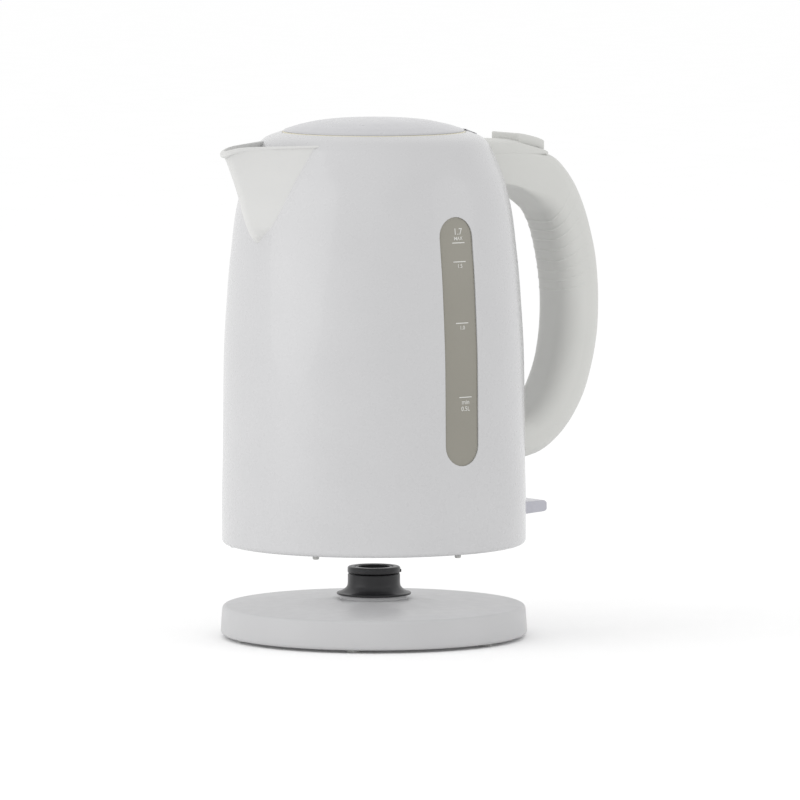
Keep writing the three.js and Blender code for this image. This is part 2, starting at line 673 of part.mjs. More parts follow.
function buildHandle() {
  place(jugGroup, 'grip_outer_shell', gripOuterShell(), gripWhite);
  place(jugGroup, 'grip_inner_shell', gripShell(false), gripWhite);
  place(jugGroup, 'handle_top_cover', topCover(), gripWhite);
  place(jugGroup, 'lid_button', lidButton(), gripWhite);
  const spring = coilSpring(2.2, 0.4, 3, 7.4).translate([latch.springX, 0, latch.springZ]);
  place(jugGroup, 'button_spring', spring, steel);
  place(jugGroup, 'latch_slider', latchSlider(), black);
}

// ---------------------------------------------------------------- spout filter
function filterPiece(shape) {
  return shape.rotate([0, filter.tilt, 0]).translate([filter.x, 0, filter.z]);
}

// A plate whose edges stand in from the filter's outer edge.
function filterPlate(halfThickness, inset) {
  const half = filter.halfWidth - inset;
  return block(-halfThickness, halfThickness, -half, half, -17 + inset, 16 - inset);
}

function filterFrame() {
  return filterPiece(filterPlate(1, 0).subtract(filterPlate(2, filter.rim)));
}

function filterMesh() {
  return filterPiece(filterPlate(0.3, filter.rim + GAP));
}

function buildFilter() {
  place(jugGroup, 'filter_frame', filterFrame(), satin);
  place(jugGroup, 'filter_mesh', filterMesh(), steel);
}

// ---------------------------------------------------------------- switch
function switchLever() {
  const half = lever.thickness / 2;
  const z = lever.pivotZ;
  const paddle = sideProfile(polygon([
    [lever.pivotX - 9, z - 1.4], [lever.pivotX - 4, z - 3.2], [76, z - half],
    [lever.endX - 2, z - half + 0.6], [lever.endX, z - half + 2.2], [lever.endX, z + half - 2],
    [lever.endX - 1.6, z + half - 0.6], [76, z + half], [lever.pivotX - 4, z + 3.2],
    [lever.pivotX - 9, z + 1.4],
  ]), 2 * lever.halfWidth, 1.6);
  return paddle.subtract(crossRod(1.5, 60, lever.pivotX, z));
}

function tripArm() {
  const z = trip.pivotZ;
  const arm = block(trip.pivotX - 1.5, trip.endX, -trip.halfWidth, trip.halfWidth, z - 1.2, z + 1.2);
  const hub = crossRod(2.4, 2 * trip.halfWidth, trip.pivotX, trip.pivotZ);
  return arm.add(hub).subtract(crossRod(1.3, 20, trip.pivotX, trip.pivotZ));
}

function buildSwitch() {
  place(jugGroup, 'switch_lever', switchLever(), leverGrey);
  place(jugGroup, 'switch_pivot_pin', crossRod(1.2, 28, lever.pivotX, lever.pivotZ), steel);
  place(jugGroup, 'trip_arm', tripArm(), black);
  place(jugGroup, 'trip_arm_pin', crossRod(1.0, 8.4, trip.pivotX, trip.pivotZ, 0, TINY), steel);
  place(jugGroup, 'indicator_lamp', disc(2.2, 14, 20, 62, 24, TINY), lampRed);
}

buildBase();
buildJug();
buildLid();
buildHandle();
buildFilter();
buildSwitch();

export default kettle;
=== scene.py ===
"""Looks of a cordless electric kettle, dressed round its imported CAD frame.

All sizes are in millimetres in the classes below and become metres in the meshes.
Heights named z in the jug's classes count from the jug's own datum, which LEVEL.lift raises to its place.
"""

import logging
import math
from dataclasses import dataclass, field
from enum import Enum
from typing import Callable, Iterable, Optional, Sequence

import bmesh
import bpy
from mathutils import Matrix, Vector


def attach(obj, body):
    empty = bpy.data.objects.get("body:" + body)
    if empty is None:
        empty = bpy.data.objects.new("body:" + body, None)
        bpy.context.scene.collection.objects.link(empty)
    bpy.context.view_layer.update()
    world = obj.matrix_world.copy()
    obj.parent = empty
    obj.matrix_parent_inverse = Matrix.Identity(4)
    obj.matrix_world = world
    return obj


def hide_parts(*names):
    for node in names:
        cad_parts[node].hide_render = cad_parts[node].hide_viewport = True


LOG = logging.getLogger("kettle")
MM = 0.001
TURN = 2.0 * math.pi
Outline = Sequence[tuple[float, float]]
Points = list[tuple[float, float]]
Triple = tuple[float, float, float]
Piece = bpy.types.Object
Material = bpy.types.Material

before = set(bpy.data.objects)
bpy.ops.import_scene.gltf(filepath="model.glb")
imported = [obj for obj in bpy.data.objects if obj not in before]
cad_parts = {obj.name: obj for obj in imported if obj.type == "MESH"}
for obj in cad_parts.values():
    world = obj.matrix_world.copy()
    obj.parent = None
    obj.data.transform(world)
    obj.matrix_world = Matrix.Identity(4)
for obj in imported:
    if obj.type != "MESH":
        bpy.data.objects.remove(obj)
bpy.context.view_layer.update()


class Body(Enum):
    """The rigid bodies of the frame that the pieces ride on."""

    BASE = "base"
    SWIVEL = "swivel"
    KETTLE = "kettle"
    LID = "lid"
    BUTTON = "button"
    LEVER = "lever"


@dataclass(frozen=True)
class Levels:
    """Heights that tie the pieces to the frame, in millimetres above the worktop."""

    lift: float = 49.4
    rim: float = 16.6
    boss: float = 21.5


LEVEL = Levels()


# ---------------------------------------------------------------- shader groups
def new_group(name: str, inputs: dict[str, float], outputs: dict[str, str]) -> bpy.types.ShaderNodeTree:
    """Starts a shader group with float inputs.

    Args:
        name: The group's name.
        inputs: Input names with their default values.
        outputs: Output names with their socket types.

    Returns:
        The node tree, with its input and output nodes named "in" and "out".
    """
    tree = bpy.data.node_groups.new(name, "ShaderNodeTree")
    for label, value in inputs.items():
        socket = tree.interface.new_socket(label, in_out="INPUT", socket_type="NodeSocketFloat")
        socket.default_value = value
    for label, kind in outputs.items():
        tree.interface.new_socket(label, in_out="OUTPUT", socket_type=kind)
    tree.nodes.new("NodeGroupInput").name = "in"
    tree.nodes.new("NodeGroupOutput").name = "out"
    return tree


def add_noise(tree: bpy.types.NodeTree, vector: bpy.types.NodeSocket, scale: Optional[float] = None,
              detail: float = 3.0) -> bpy.types.Node:
    """Adds a noise texture read at a vector.

    Args:
        tree: The node tree.
        vector: The socket that gives the place.
        scale: The noise's scale, or None where it is linked afterwards.
        detail: The number of octaves.

    Returns:
        The noise node.
    """
    noise = tree.nodes.new("ShaderNodeTexNoise")
    noise.inputs["Detail"].default_value = detail
    if scale is not None:
        noise.inputs["Scale"].default_value = scale
    tree.links.new(vector, noise.inputs["Vector"])
    return noise


def add_range(tree: bpy.types.NodeTree, value: bpy.types.NodeSocket, low: float,
              high: float) -> bpy.types.NodeSocket:
    """Maps a noise value, which keeps mostly to 0.3 to 0.7, to a range.

    Args:
        tree: The node tree.
        value: The socket to map.
        low: The result at the low end.
        high: The result at the high end.

    Returns:
        The mapped value's socket.
    """
    node = tree.nodes.new("ShaderNodeMapRange")
    node.inputs["From Min"].default_value = 0.3
    node.inputs["From Max"].default_value = 0.7
    node.inputs["To Min"].default_value = low
    node.inputs["To Max"].default_value = high
    tree.links.new(value, node.inputs["Value"])
    return node.outputs["Result"]


def add_math(tree: bpy.types.NodeTree, operation: str,
*values: bpy.types.NodeSocket) -> bpy.types.NodeSocket:
    """Adds a Math node.

    Args:
        tree: The node tree.
        operation: What the node does.
        values: The sockets that feed its inputs, in order.

    Returns:
        The result's socket.
    """
    node = tree.nodes.new("ShaderNodeMath")
    node.operation = operation
    for value, socket in zip(values, node.inputs):
        tree.links.new(value, socket)
    return node.outputs[0]


class SurfaceGroups:
    """The shader groups that several finishes share, with the scales of their noises."""

    FLOW = 22.0
    RIPPLE = 34.0
    HAZE = 160.0
    STAIN = 70.0
    RING_SPREAD = 0.05

    def __init__(self) -> None:
        """Builds each group once."""
        self.moulding = self._moulding()
        self.turning = self._turning()

    def _moulding(self) -> bpy.types.ShaderNodeTree:
        """Builds the skin of injection moulded plastic.

        Returns:
            A group with a shade for the colour, a roughness and a height.
        """
        tree = new_group(
            "moulded_skin",
            {"Grain Scale": 900.0, "Roughness": 0.4, "Roughness Spread": 0.06, "Grain Depth": 0.5},
            {"Shade": "NodeSocketFloat", "Roughness": "NodeSocketFloat", "Height": "NodeSocketFloat"},
        )
        source, sink = tree.nodes["in"], tree.nodes["out"]
        place = tree.nodes.new("ShaderNodeTexCoord").outputs["Object"]
        grain = add_noise(tree, place, detail=2.0)
        tree.links.new(source.outputs["Grain Scale"], grain.inputs["Scale"])
        flow = add_noise(tree, place, self.FLOW, 2.0)
        haze = add_noise(tree, place, self.HAZE, 4.0)
        ripple = add_noise(tree, place, self.RIPPLE, 1.0)
        spread = add_range(tree, haze.outputs["Fac"], -1.0, 1.0)
        rough = add_math(tree, "MULTIPLY_ADD", spread, source.outputs["Roughness Spread"],
                         source.outputs["Roughness"])
        relief = add_math(tree, "MULTIPLY", grain.outputs["Fac"], source.outputs["Grain Depth"])
        tree.links.new(add_range(tree, flow.outputs["Fac"], 0.0, 1.0), sink.inputs["Shade"])
        tree.links.new(rough, sink.inputs["Roughness"])
        tree.links.new(add_math(tree, "ADD", relief, ripple.outputs["Fac"]), sink.inputs["Height"])
        return tree

    def _turning(self) -> bpy.types.ShaderNodeTree:
        """Builds the fine rings that turning and brushing leave in metal.

        Returns:
            A group with a shade, a roughness and a height.
        """
        tree = new_group(
            "turned_metal", {"Ring Scale": 1400.0, "Roughness": 0.3},
            {"Shade": "NodeSocketFloat", "Roughness": "NodeSocketFloat", "Height": "NodeSocketFloat"},
        )
        source, sink = tree.nodes["in"], tree.nodes["out"]
        place = tree.nodes.new("ShaderNodeTexCoord").outputs["Object"]
        rings = tree.nodes.new("ShaderNodeTexWave")
        rings.wave_type = "RINGS"
        rings.rings_direction = "Z"
        rings.inputs["Distortion"].default_value = 1.5
        rings.inputs["Detail"].default_value = 2.0
        tree.links.new(source.outputs["Ring Scale"], rings.inputs["Scale"])
        tree.links.new(place, rings.inputs["Vector"])
        stain = add_noise(tree, place, self.STAIN, 4.0)
        spread = add_range(tree, rings.outputs["Fac"], -self.RING_SPREAD, self.RING_SPREAD)
        tree.links.new(add_range(tree, stain.outputs["Fac"], 0.0, 1.0), sink.inputs["Shade"])
        tree.links.new(add_math(tree, "ADD", spread, source.outputs["Roughness"]), sink.inputs["Roughness"])
        tree.links.new(rings.outputs["Fac"], sink.inputs["Height"])
        return tree


GROUPS = SurfaceGroups()


def start_material(name: str) -> tuple[Material, bpy.types.Node]:
    """Makes a node material.

    Args:
        name: The material's name.

    Returns:
        The material and its Principled shader.
    """
    material = bpy.data.materials.new(name)
    material.use_nodes = True
    return material, material.node_tree.nodes["Principled BSDF"]


def place_group(material: Material, group: bpy.types.ShaderNodeTree,
                values: dict[str, float]) -> bpy.types.Node:
    """Puts a shared group into a material.

    Args:
        material: The material.
        group: The group.
        values: Values for its inputs.

    Returns:
        The group node.
    """
    node = material.node_tree.nodes.new("ShaderNodeGroup")
    node.node_tree = group
    for label, value in values.items():
        node.inputs[label].default_value = value
    return node


def link_skin(material: Material, shader: bpy.types.Node, skin: bpy.types.Node,
              colour: Triple, tone: float, relief: float) -> None:
    """Feeds a skin group's outputs to the shader.

    Args:
        material: The material.
        shader: Its Principled shader.
        skin: The placed group.
        colour: The colour at the shade's light end.
        tone: The dark end's brightness, as a share of the colour.
        relief: The bump's height in metres.
    """
    tree = material.node_tree
    mix = tree.nodes.new("ShaderNodeMix")
    mix.data_type = "RGBA"
    mix.inputs["A"].default_value = (*(part * tone for part in colour), 1.0)
    mix.inputs["B"].default_value = (*colour, 1.0)
    bump = tree.nodes.new("ShaderNodeBump")
    bump.inputs["Strength"].default_value = 1.0
    bump.inputs["Distance"].default_value = relief
    tree.links.new(skin.outputs["Shade"], mix.inputs["Factor"])
    tree.links.new(mix.outputs["Result"], shader.inputs["Base Color"])
    tree.links.new(skin.outputs["Roughness"], shader.inputs["Roughness"])
    tree.links.new(skin.outputs["Height"], bump.inputs["Height"])
    tree.links.new(bump.outputs["Normal"], shader.inputs["Normal"])


# ---------------------------------------------------------------- finishes
@dataclass(frozen=True)
class MouldedPlastic:
    """An injection moulded plastic."""

    name: str
    colour: Triple
    roughness: float
    grain_scale: float = 1500.0
    grain_depth: float = 0.4
    relief: float = 0.000012
    coat: float = 0.0
    specular: float = 0.5
    tone: float = 0.965
    spread: float = 0.12
    coat_roughness: float = 0.06

    def build(self) -> Material:
        """Builds the material.

        Returns:
            The material.
        """
        material, shader = start_material(self.name)
        skin = place_group(material, GROUPS.moulding, {
            "Grain Scale": self.grain_scale, "Roughness": self.roughness,
            "Roughness Spread": self.spread * self.roughness, "Grain Depth": self.grain_depth,
        })
        link_skin(material, shader, skin, self.colour, self.tone, self.relief)
        shader.inputs["Specular IOR Level"].default_value = self.specular
        shader.inputs["Coat Weight"].default_value = self.coat
        shader.inputs["Coat Roughness"].default_value = self.coat_roughness
        return material


@dataclass(frozen=True)
class TurnedMetal:
    """A turned, drawn or brushed metal."""

    name: str
    colour: Triple
    roughness: float
    ring_scale: float = 1400.0
    tone: float = 0.86
    relief: float = 0.000008

    def build(self) -> Material:
        """Builds the material.

        Returns:
            The material.
        """
        material, shader = start_material(self.name)
        skin = place_group(material, GROUPS.turning, {
            "Ring Scale": self.ring_scale, "Roughness": self.roughness,
        })
        link_skin(material, shader, skin, self.colour, self.tone, self.relief)
        shader.inputs["Metallic"].default_value = 1.0
        return material


@dataclass(frozen=True)
class ClearPlastic:
    """A tinted clear plastic."""

    name: str
    colour: Triple
    roughness: float
    transmission: float
    ior: float = 1.49
    tone: float = 0.95
    relief: float = 0.000008

    def build(self) -> Material:
        """Builds the material.

        Returns:
            The material.
        """
        material, shader = start_material(self.name)
        skin = place_group(material, GROUPS.moulding, {
            "Grain Scale": 1200.0, "Roughness": self.roughness, "Roughness Spread": 0.02, "Grain Depth": 0.2,
        })
        link_skin(material, shader, skin, self.colour, self.tone, self.relief)
        shader.inputs["Transmission Weight"].default_value = self.transmission
        shader.inputs["IOR"].default_value = self.ior
        return material


@dataclass(frozen=True)
class Finishes:
    """The kettle's finishes, one for each kind of surface."""

    gloss: Material = field(default_factory=MouldedPlastic(
        "gloss_white_moulding", (0.53, 0.53, 0.537), 0.28, grain_scale=700.0, grain_depth=0.15,
        relief=0.000003, coat=0.25).build)
    lid: Material = field(default_factory=MouldedPlastic(
        "lid_white_moulding", (0.48, 0.48, 0.496), 0.3, grain_scale=700.0, grain_depth=0.15,
        relief=0.000003, coat=0.2).build)
    satin: Material = field(default_factory=MouldedPlastic(
        "satin_white_moulding", (0.63, 0.63, 0.62), 0.48, grain_scale=2200.0, grain_depth=0.6,
        relief=0.00001, specular=0.4).build)
    base: Material = field(default_factory=MouldedPlastic(
        "base_white_moulding", (0.5, 0.5, 0.506), 0.42, grain_scale=1800.0, grain_depth=0.5,
        relief=0.00001, specular=0.4).build)
    grip: Material = field(default_factory=MouldedPlastic(
        "grip_white_moulding", (0.6, 0.602, 0.58), 0.5, grain_scale=2600.0, grain_depth=0.7,
        relief=0.000012, specular=0.4).build)
    black: Material = field(default_factory=MouldedPlastic(
        "black_moulding", (0.009, 0.009, 0.011), 0.36, grain_scale=1800.0, grain_depth=0.6,
        relief=0.000012, coat=0.05, specular=0.4, tone=0.7).build)
    lever: Material = field(default_factory=MouldedPlastic(
        "lever_grey_moulding", (0.47, 0.47, 0.52), 0.25, relief=0.00001, coat=0.3).build)
    rubber: Material = field(default_factory=MouldedPlastic(
        "foot_rubber", (0.46, 0.46, 0.45), 0.75, grain_scale=3000.0, grain_depth=1.6, relief=0.00004,
        specular=0.3, tone=0.85).build)
    silicone: Material = field(default_factory=MouldedPlastic(
        "seal_silicone", (0.74, 0.70, 0.55), 0.5, grain_scale=1500.0, grain_depth=0.5, relief=0.00001,
        specular=0.4).build)
    ink: Material = field(default_factory=MouldedPlastic(
        "gauge_ink_white", (0.66, 0.66, 0.63), 0.6, grain_scale=3000.0, grain_depth=0.5,
        relief=0.000006).build)
    steel: Material = field(default_factory=TurnedMetal(
        "stainless_steel", (0.62, 0.62, 0.61), 0.3).build)
    brass: Material = field(default_factory=TurnedMetal(
        "contact_brass", (0.83, 0.62, 0.3), 0.28).build)
    window: Material = field(default_factory=ClearPlastic(
        "gauge_smoked_clear", (0.295, 0.282, 0.24), 0.22, 0.12).build)
    lamp: Material = field(default_factory=ClearPlastic(
        "lamp_clear_red", (0.6, 0.08, 0.05), 0.15, 0.5).build)


# ---------------------------------------------------------------- mesh helpers
def smooth_curve(points: Outline, per_span: int = 6) -> Points:
    """Runs a Catmull-Rom curve through points.

    Args:
        points: The points to pass through.
        per_span: How many steps each span takes.

    Returns:
        The curve's points, ends included.
    """
    padded = [points[0], *points, points[-1]]
    result = []
    for i in range(1, len(padded) - 2):
        before, start, end, after = (Vector(padded[k]) for k in range(i - 1, i + 3))
        for step in range(per_span):
            t = step / per_span
            bend = (2 * before - 5 * start + 4 * end - after) * t ** 2
            twist = (3 * start - before - 3 * end + after) * t ** 3
            result.append(tuple(0.5 * (2 * start + (end - before) * t + bend + twist)))
    result.append(tuple(points[-1]))
    return result


def arc(centre: tuple[float, float], radius: float, start: float, stop: float, steps: int = 6) -> Points:
    """Lists points on an arc.

    Args:
        centre: The arc's centre.
        radius: Its radius.
        start: The first angle in degrees.
        stop: The last angle in degrees.
        steps: How many steps it takes.

    Returns:
        The points, ends included.
    """
    angles = [math.radians(start + (stop - start) * i / steps) for i in range(steps + 1)]
    return [(centre[0] + radius * math.cos(a), centre[1] + radius * math.sin(a)) for a in angles]


def on_circle(radius: float, angle: float) -> tuple[float, float]:
    """Gives the point on a circle round the origin at an angle in degrees."""
    return radius * math.cos(math.radians(angle)), radius * math.sin(math.radians(angle))


def rectangle(left: float, low: float, right: float, high: float) -> Points:
    """Lists a rectangle's corners."""
    return [(left, low), (right, low), (right, high), (left, high)]


def to_object(name: str, mesh: bmesh.types.BMesh) -> Piece:
    """Turns a bmesh into an object at the origin.

    Args:
        name: The piece's name.
        mesh: The bmesh, freed afterwards.

    Returns:
        The object, linked to the scene.
    """
    bmesh.ops.remove_doubles(mesh, verts=mesh.verts, dist=1e-7)
    bmesh.ops.recalc_face_normals(mesh, faces=mesh.faces)
    data = bpy.data.meshes.new(name)
    mesh.to_mesh(data)
    mesh.free()
    piece = bpy.data.objects.new(name, data)
    bpy.context.scene.collection.objects.link(piece)
    return piece


def spun(name: str, outline: Outline, lift: float = 0.0, steps: int = 128,
         centre: tuple[float, float] = (0, 0), closed: bool = True) -> Piece:
    """Spins an outline of radius and height about an upright axis.

    Args:
        name: The piece's name.
        outline: The outline in millimetres.
        lift: What is added to each height.
        steps: Steps in the full turn.
        centre: Where the axis stands.
        closed: Whether the outline is a ring that closes on itself.

    Returns:
        The piece.
    """
    mesh = bmesh.new()
    x, y = centre
    verts = [mesh.verts.new(((x + r) * MM, y * MM, (z + lift) * MM)) for r, z in outline]
    pairs = list(zip(verts, verts[1:]))
    if closed:
        pairs.append((verts[-1], verts[0]))
    edges = [mesh.edges.new(pair) for pair in pairs]
    bmesh.ops.spin(mesh, geom=[*verts, *edges], cent=(x * MM, y * MM, 0.0), axis=(0, 0, 1), dvec=(0, 0, 0),
                   angle=TURN, steps=steps, use_merge=True, use_normal_flip=False, use_duplicate=False)
    return to_object(name, mesh)


def slab(name: str, outline: Outline, half_width: float, lift: float = 0.0) -> Piece:
    """Extrudes a side outline of x and z across the kettle.

    Args:
        name: The piece's name.
        outline: The outline in millimetres.
        half_width: How far it goes each way along Y.
        lift: What is added to each height.

    Returns:
        The piece.
    """
    mesh = bmesh.new()
    verts = [mesh.verts.new((x * MM, -half_width * MM, (z + lift) * MM)) for x, z in outline]
    face = mesh.faces.new(verts)
    grown = bmesh.ops.extrude_face_region(mesh, geom=[face])
    moved = [item for item in grown["geom"] if isinstance(item, bmesh.types.BMVert)]
    bmesh.ops.translate(mesh, verts=moved, vec=(0, 2 * half_width * MM, 0))
    return to_object(name, mesh)


def sheet(name: str, columns: int, rows: int, place: Callable[[float, float], Vector],
          merge: bool = False) -> Piece:
    """Bends a grid into shape.

    Args:
        name: The piece's name.
        columns: Cells along u.
        rows: Cells along v.
        place: Gives the point, in millimetres, at u and v from 0 to 1.
        merge: Whether edges that meet are joined.

    Returns:
        The piece.
    """
    mesh = bmesh.new()
    bmesh.ops.create_grid(mesh, x_segments=columns, y_segments=rows, size=0.5)
    for vert in mesh.verts:
        vert.co = place(vert.co.x + 0.5, vert.co.y + 0.5) * MM
    if merge:
        bmesh.ops.remove_doubles(mesh, verts=mesh.verts, dist=1e-6)
    return to_object(name, mesh)


def lofted(name: str, rings: Sequence[Sequence[Vector]]) -> Piece:
    """Joins closed rings into a solid with flat ends.

    Args:
        name: The piece's name.
        rings: The rings' points in millimetres, the same number in each.

    Returns:
        The piece.
    """
    mesh = bmesh.new()
    loops = [[mesh.verts.new(point * MM) for point in ring] for ring in rings]
    edges = [[mesh.edges.new(pair) for pair in zip(loop, loop[1:] + loop[:1])] for loop in loops]
    for first, second in zip(edges, edges[1:]):
        bmesh.ops.bridge_loops(mesh, edges=[*first, *second])
    for loop in (loops[0], loops[-1]):
        mesh.faces.new(loop)
    return to_object(name, mesh)


def swept_bead(name: str, line: Sequence[Vector], radii: Sequence[float], sides: int = 16) -> Piece:
    """Sweeps a round section along a line.

    Args:
        name: The piece's name.
        line: The section's middle line in millimetres.
        radii: The section's radius in millimetres at each point of the line.
        sides: How many sides it has.

    Returns:
        The piece, closed at both ends.
    """
    turns = [TURN * k / sides for k in range(sides)]
    rings = []
    for number, (point, radius) in enumerate(zip(line, radii)):
        along = (line[min(number + 1, len(line) - 1)] - line[max(number - 1, 0)]).normalized()
        side = along.cross(Vector((0.0, 0.0, 1.0))).normalized()
        above = side.cross(along)
        rings.append([point + radius * (side * math.cos(a) + above * math.sin(a)) for a in turns])
    return lofted(name, rings)


def shifted(piece: Piece, x: float = 0.0, y: float = 0.0) -> Piece:
    """Moves a piece's mesh.

    Args:
        piece: The piece.
        x: How far along X, in millimetres.
        y: How far along Y, in millimetres.

    Returns:
        The same piece.
    """
    piece.data.transform(Matrix.Translation((x * MM, y * MM, 0.0)))
    return piece


def bevelled(piece: Piece, width: float, segments: int = 3, angle: float = 35.0) -> Piece:
    """Rounds a piece's sharp edges with a Bevel modifier.

    Args:
        piece: The piece.
        width: The bevel's width in millimetres.
        segments: Its segments.
        angle: Edges sharper than this are rounded, in degrees.

    Returns:
        The same piece.
    """
    bevel = piece.modifiers.new("rounded_edges", "BEVEL")
    bevel.width = width * MM
    bevel.segments = segments
    bevel.limit_method = "ANGLE"
    bevel.angle_limit = math.radians(angle)
    return piece


def walled(piece: Piece, thickness: float, offset: float = -1.0) -> Piece:
    """Gives a sheet a wall.

    Args:
        piece: The sheet.
        thickness: The wall in millimetres.
        offset: -1 puts it behind the sheet's faces and 1 in front.

    Returns:
        The same piece.
    """
    wall = piece.modifiers.new("wall", "SOLIDIFY")
    wall.thickness = thickness * MM
    wall.offset = offset
    wall.use_even_offset = True
    return piece


def baked(piece: Piece) -> Piece:
    """Applies a piece's modifiers.

    Args:
        piece: The piece.

    Returns:
        The same piece, with its final mesh.
    """
    bpy.context.view_layer.update()
    graph = bpy.context.evaluated_depsgraph_get()
    data = bpy.data.meshes.new_from_object(piece.evaluated_get(graph))
    old = piece.data
    piece.modifiers.clear()
    piece.data = data
    data.name = piece.name
    bpy.data.meshes.remove(old)
    return piece


def cut(piece: Piece, *tools: Piece, operation: str = "DIFFERENCE") -> Piece:
    """Cuts or joins a piece with others, which are then thrown away.

    Args:
        piece: The piece that stays.
        tools: The cutting pieces.
        operation: DIFFERENCE, UNION or INTERSECT.

    Returns:
        The piece with its final mesh.
    """
    for tool in tools:
        boolean = piece.modifiers.new("cut", "BOOLEAN")
        boolean.operation = operation
        boolean.solver = "EXACT"
        boolean.object = tool
    baked(piece)
    for tool in tools:
        bpy.data.objects.remove(tool)
    return piece


def joined(name: str, pieces: Sequence[Piece]) -> Piece:
    """Puts several solids into one piece.

    Args:
        name: The new piece's name.
        pieces: The pieces, which are thrown away.

    Returns:
        The piece.
    """
    mesh = bmesh.new()
    for piece in pieces:
        baked(piece)
        mesh.from_mesh(piece.data)
        bpy.data.objects.remove(piece)
    return to_object(name, mesh)


def settle(piece: Piece, body: Body, material: Material,
           replaces: Iterable[str] = (), smooth: float = 32.0) -> Piece:
    """Finishes a piece: shading, material, body and the CAD nodes that it stands for.

    Args:
        piece: The piece.
        body: The body it rides on.
        material: Its material.
        replaces: The CAD nodes that it replaces.
        smooth: Edges sharper than this stay sharp, in degrees.

    Returns:
        The piece.
    """
    baked(piece)
    piece.data.materials.clear()
    piece.data.materials.append(material)
    piece.data.shade_smooth()
    piece.data.set_sharp_from_angle(angle=math.radians(smooth))
    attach(piece, body.value)
    nodes = tuple(replaces)
    if nodes:
        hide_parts(*nodes)
    LOG.info("%s: %d faces on %s", piece.name, len(piece.data.polygons), body.value)
    return piece


# ---------------------------------------------------------------- power base
@dataclass
class PowerBase:
    """The round base with its shallow crown, rim, feet and cord inlet."""

    radius: float = 78.4
    top_radius: float = 77.6
    underside: float = 1.6
    cover_radius: float = 75.1
    crown: float = 19.6
    boss_radius: float = 16.9
    wall: float = 2.4
    feet: int = 6
    foot_circle: float = 71.2
    foot_radius: float = 3.6
    first_foot: float = -13.0
    facets: int = 8
    facet_turn: float = 9.0
    facet_radius: float = 41.0
    facet_top: float = 24.0
    crown_edge: float = 60.0
    low_round: float = 1.9
    rim_round: float = 2.1
    plug_hole: float = 12.3
    inlet_radius: float = 4.6
    inlet_height: float = 8.2

    def shell_outline(self) -> Points:
        """Lists the top shell's section, from the bottom edge over the rim to the boss and back inside.

        Returns:
            Points of radius and height.
        """
        rim, low, high = LEVEL.rim, self.low_round, self.rim_round
        inside = self.crown - self.wall
        outer = [(self.cover_radius + 0.3, self.underside), (self.radius - low, self.underside)]
        outer += arc((self.radius - low, self.underside + low), low, -90, 0, 5)
        outer += [(self.radius - 0.2, 7.0), (self.top_radius + 0.1, rim - 2.6)]
        outer += arc((self.top_radius - high, rim - high), high, 0, 84, 7)
        crown = [(self.crown_edge, rim + 0.7), (self.facet_radius + 3.0, rim + 1.2),
                 (self.facet_radius, rim + 1.35), (self.facet_top, self.crown),
                 (self.facet_top - 2.0, self.crown + 0.1)]
        boss = [(self.boss_radius + 0.6, self.crown), (self.boss_radius, self.crown + 0.4),
                (self.boss_radius, LEVEL.boss), (self.plug_hole, LEVEL.boss), (self.plug_hole, inside)]
        inner = [(self.facet_top, inside - 0.3), (self.crown_edge, rim + 0.7 - self.wall),
                 (self.cover_radius - 1.0, rim - self.wall),
                 (self.cover_radius + 0.3, rim - self.wall - 1.5)]
        return [*outer, *crown, *boss, *inner]

    def facet_cut(self, shell: Piece) -> None:
        """Draws two of the crown's rings in to polygons, so that flat facets run between them.

        Args:
            shell: The top shell, changed in place.
        """
        half = math.pi / self.facets
        turn = math.radians(self.facet_turn)
        for vert in shell.data.vertices:
            radius = math.hypot(vert.co.x, vert.co.y) / MM
            ring = min((self.facet_radius, self.facet_top), key=lambda r: abs(r - radius))
            if vert.co.z / MM < LEVEL.rim or abs(ring - radius) > 0.1:
                continue
            angle = (math.atan2(vert.co.y, vert.co.x) - turn) % (2.0 * half) - half
            pull = math.cos(half) / math.cos(angle)
            vert.co.x *= pull
            vert.co.y *= pull

    def build(self, looks: Finishes) -> None:
        """Builds the base.

        Args:
            looks: The finishes.
        """
        shell = spun("base_top", self.shell_outline(), steps=180)
        self.facet_cut(shell)
        hole = slab("inlet_cutter", arc((0, self.inlet_height), self.inlet_radius, 0, 345, 23), 3.0)
        cut(shell, shifted(hole, 0.0, self.radius - 2.0))
        settle(shell, Body.BASE, looks.base, ["base_top_shell"])
        r, top = self.foot_radius, 1.4
        outline = [(0, 0), (r - 1.0, 0), *arc((r - 0.8, 0.8), 0.8, -80, 0, 4), (r, top), (0, top)]
        for number in range(self.feet):
            centre = on_circle(self.foot_circle, self.first_foot + number * 360.0 / self.feet)
            foot = spun(f"foot_{number + 1}", outline, steps=32, centre=centre, closed=False)
            settle(foot, Body.BASE, looks.rubber, [f"base_foot_{number + 1}"])


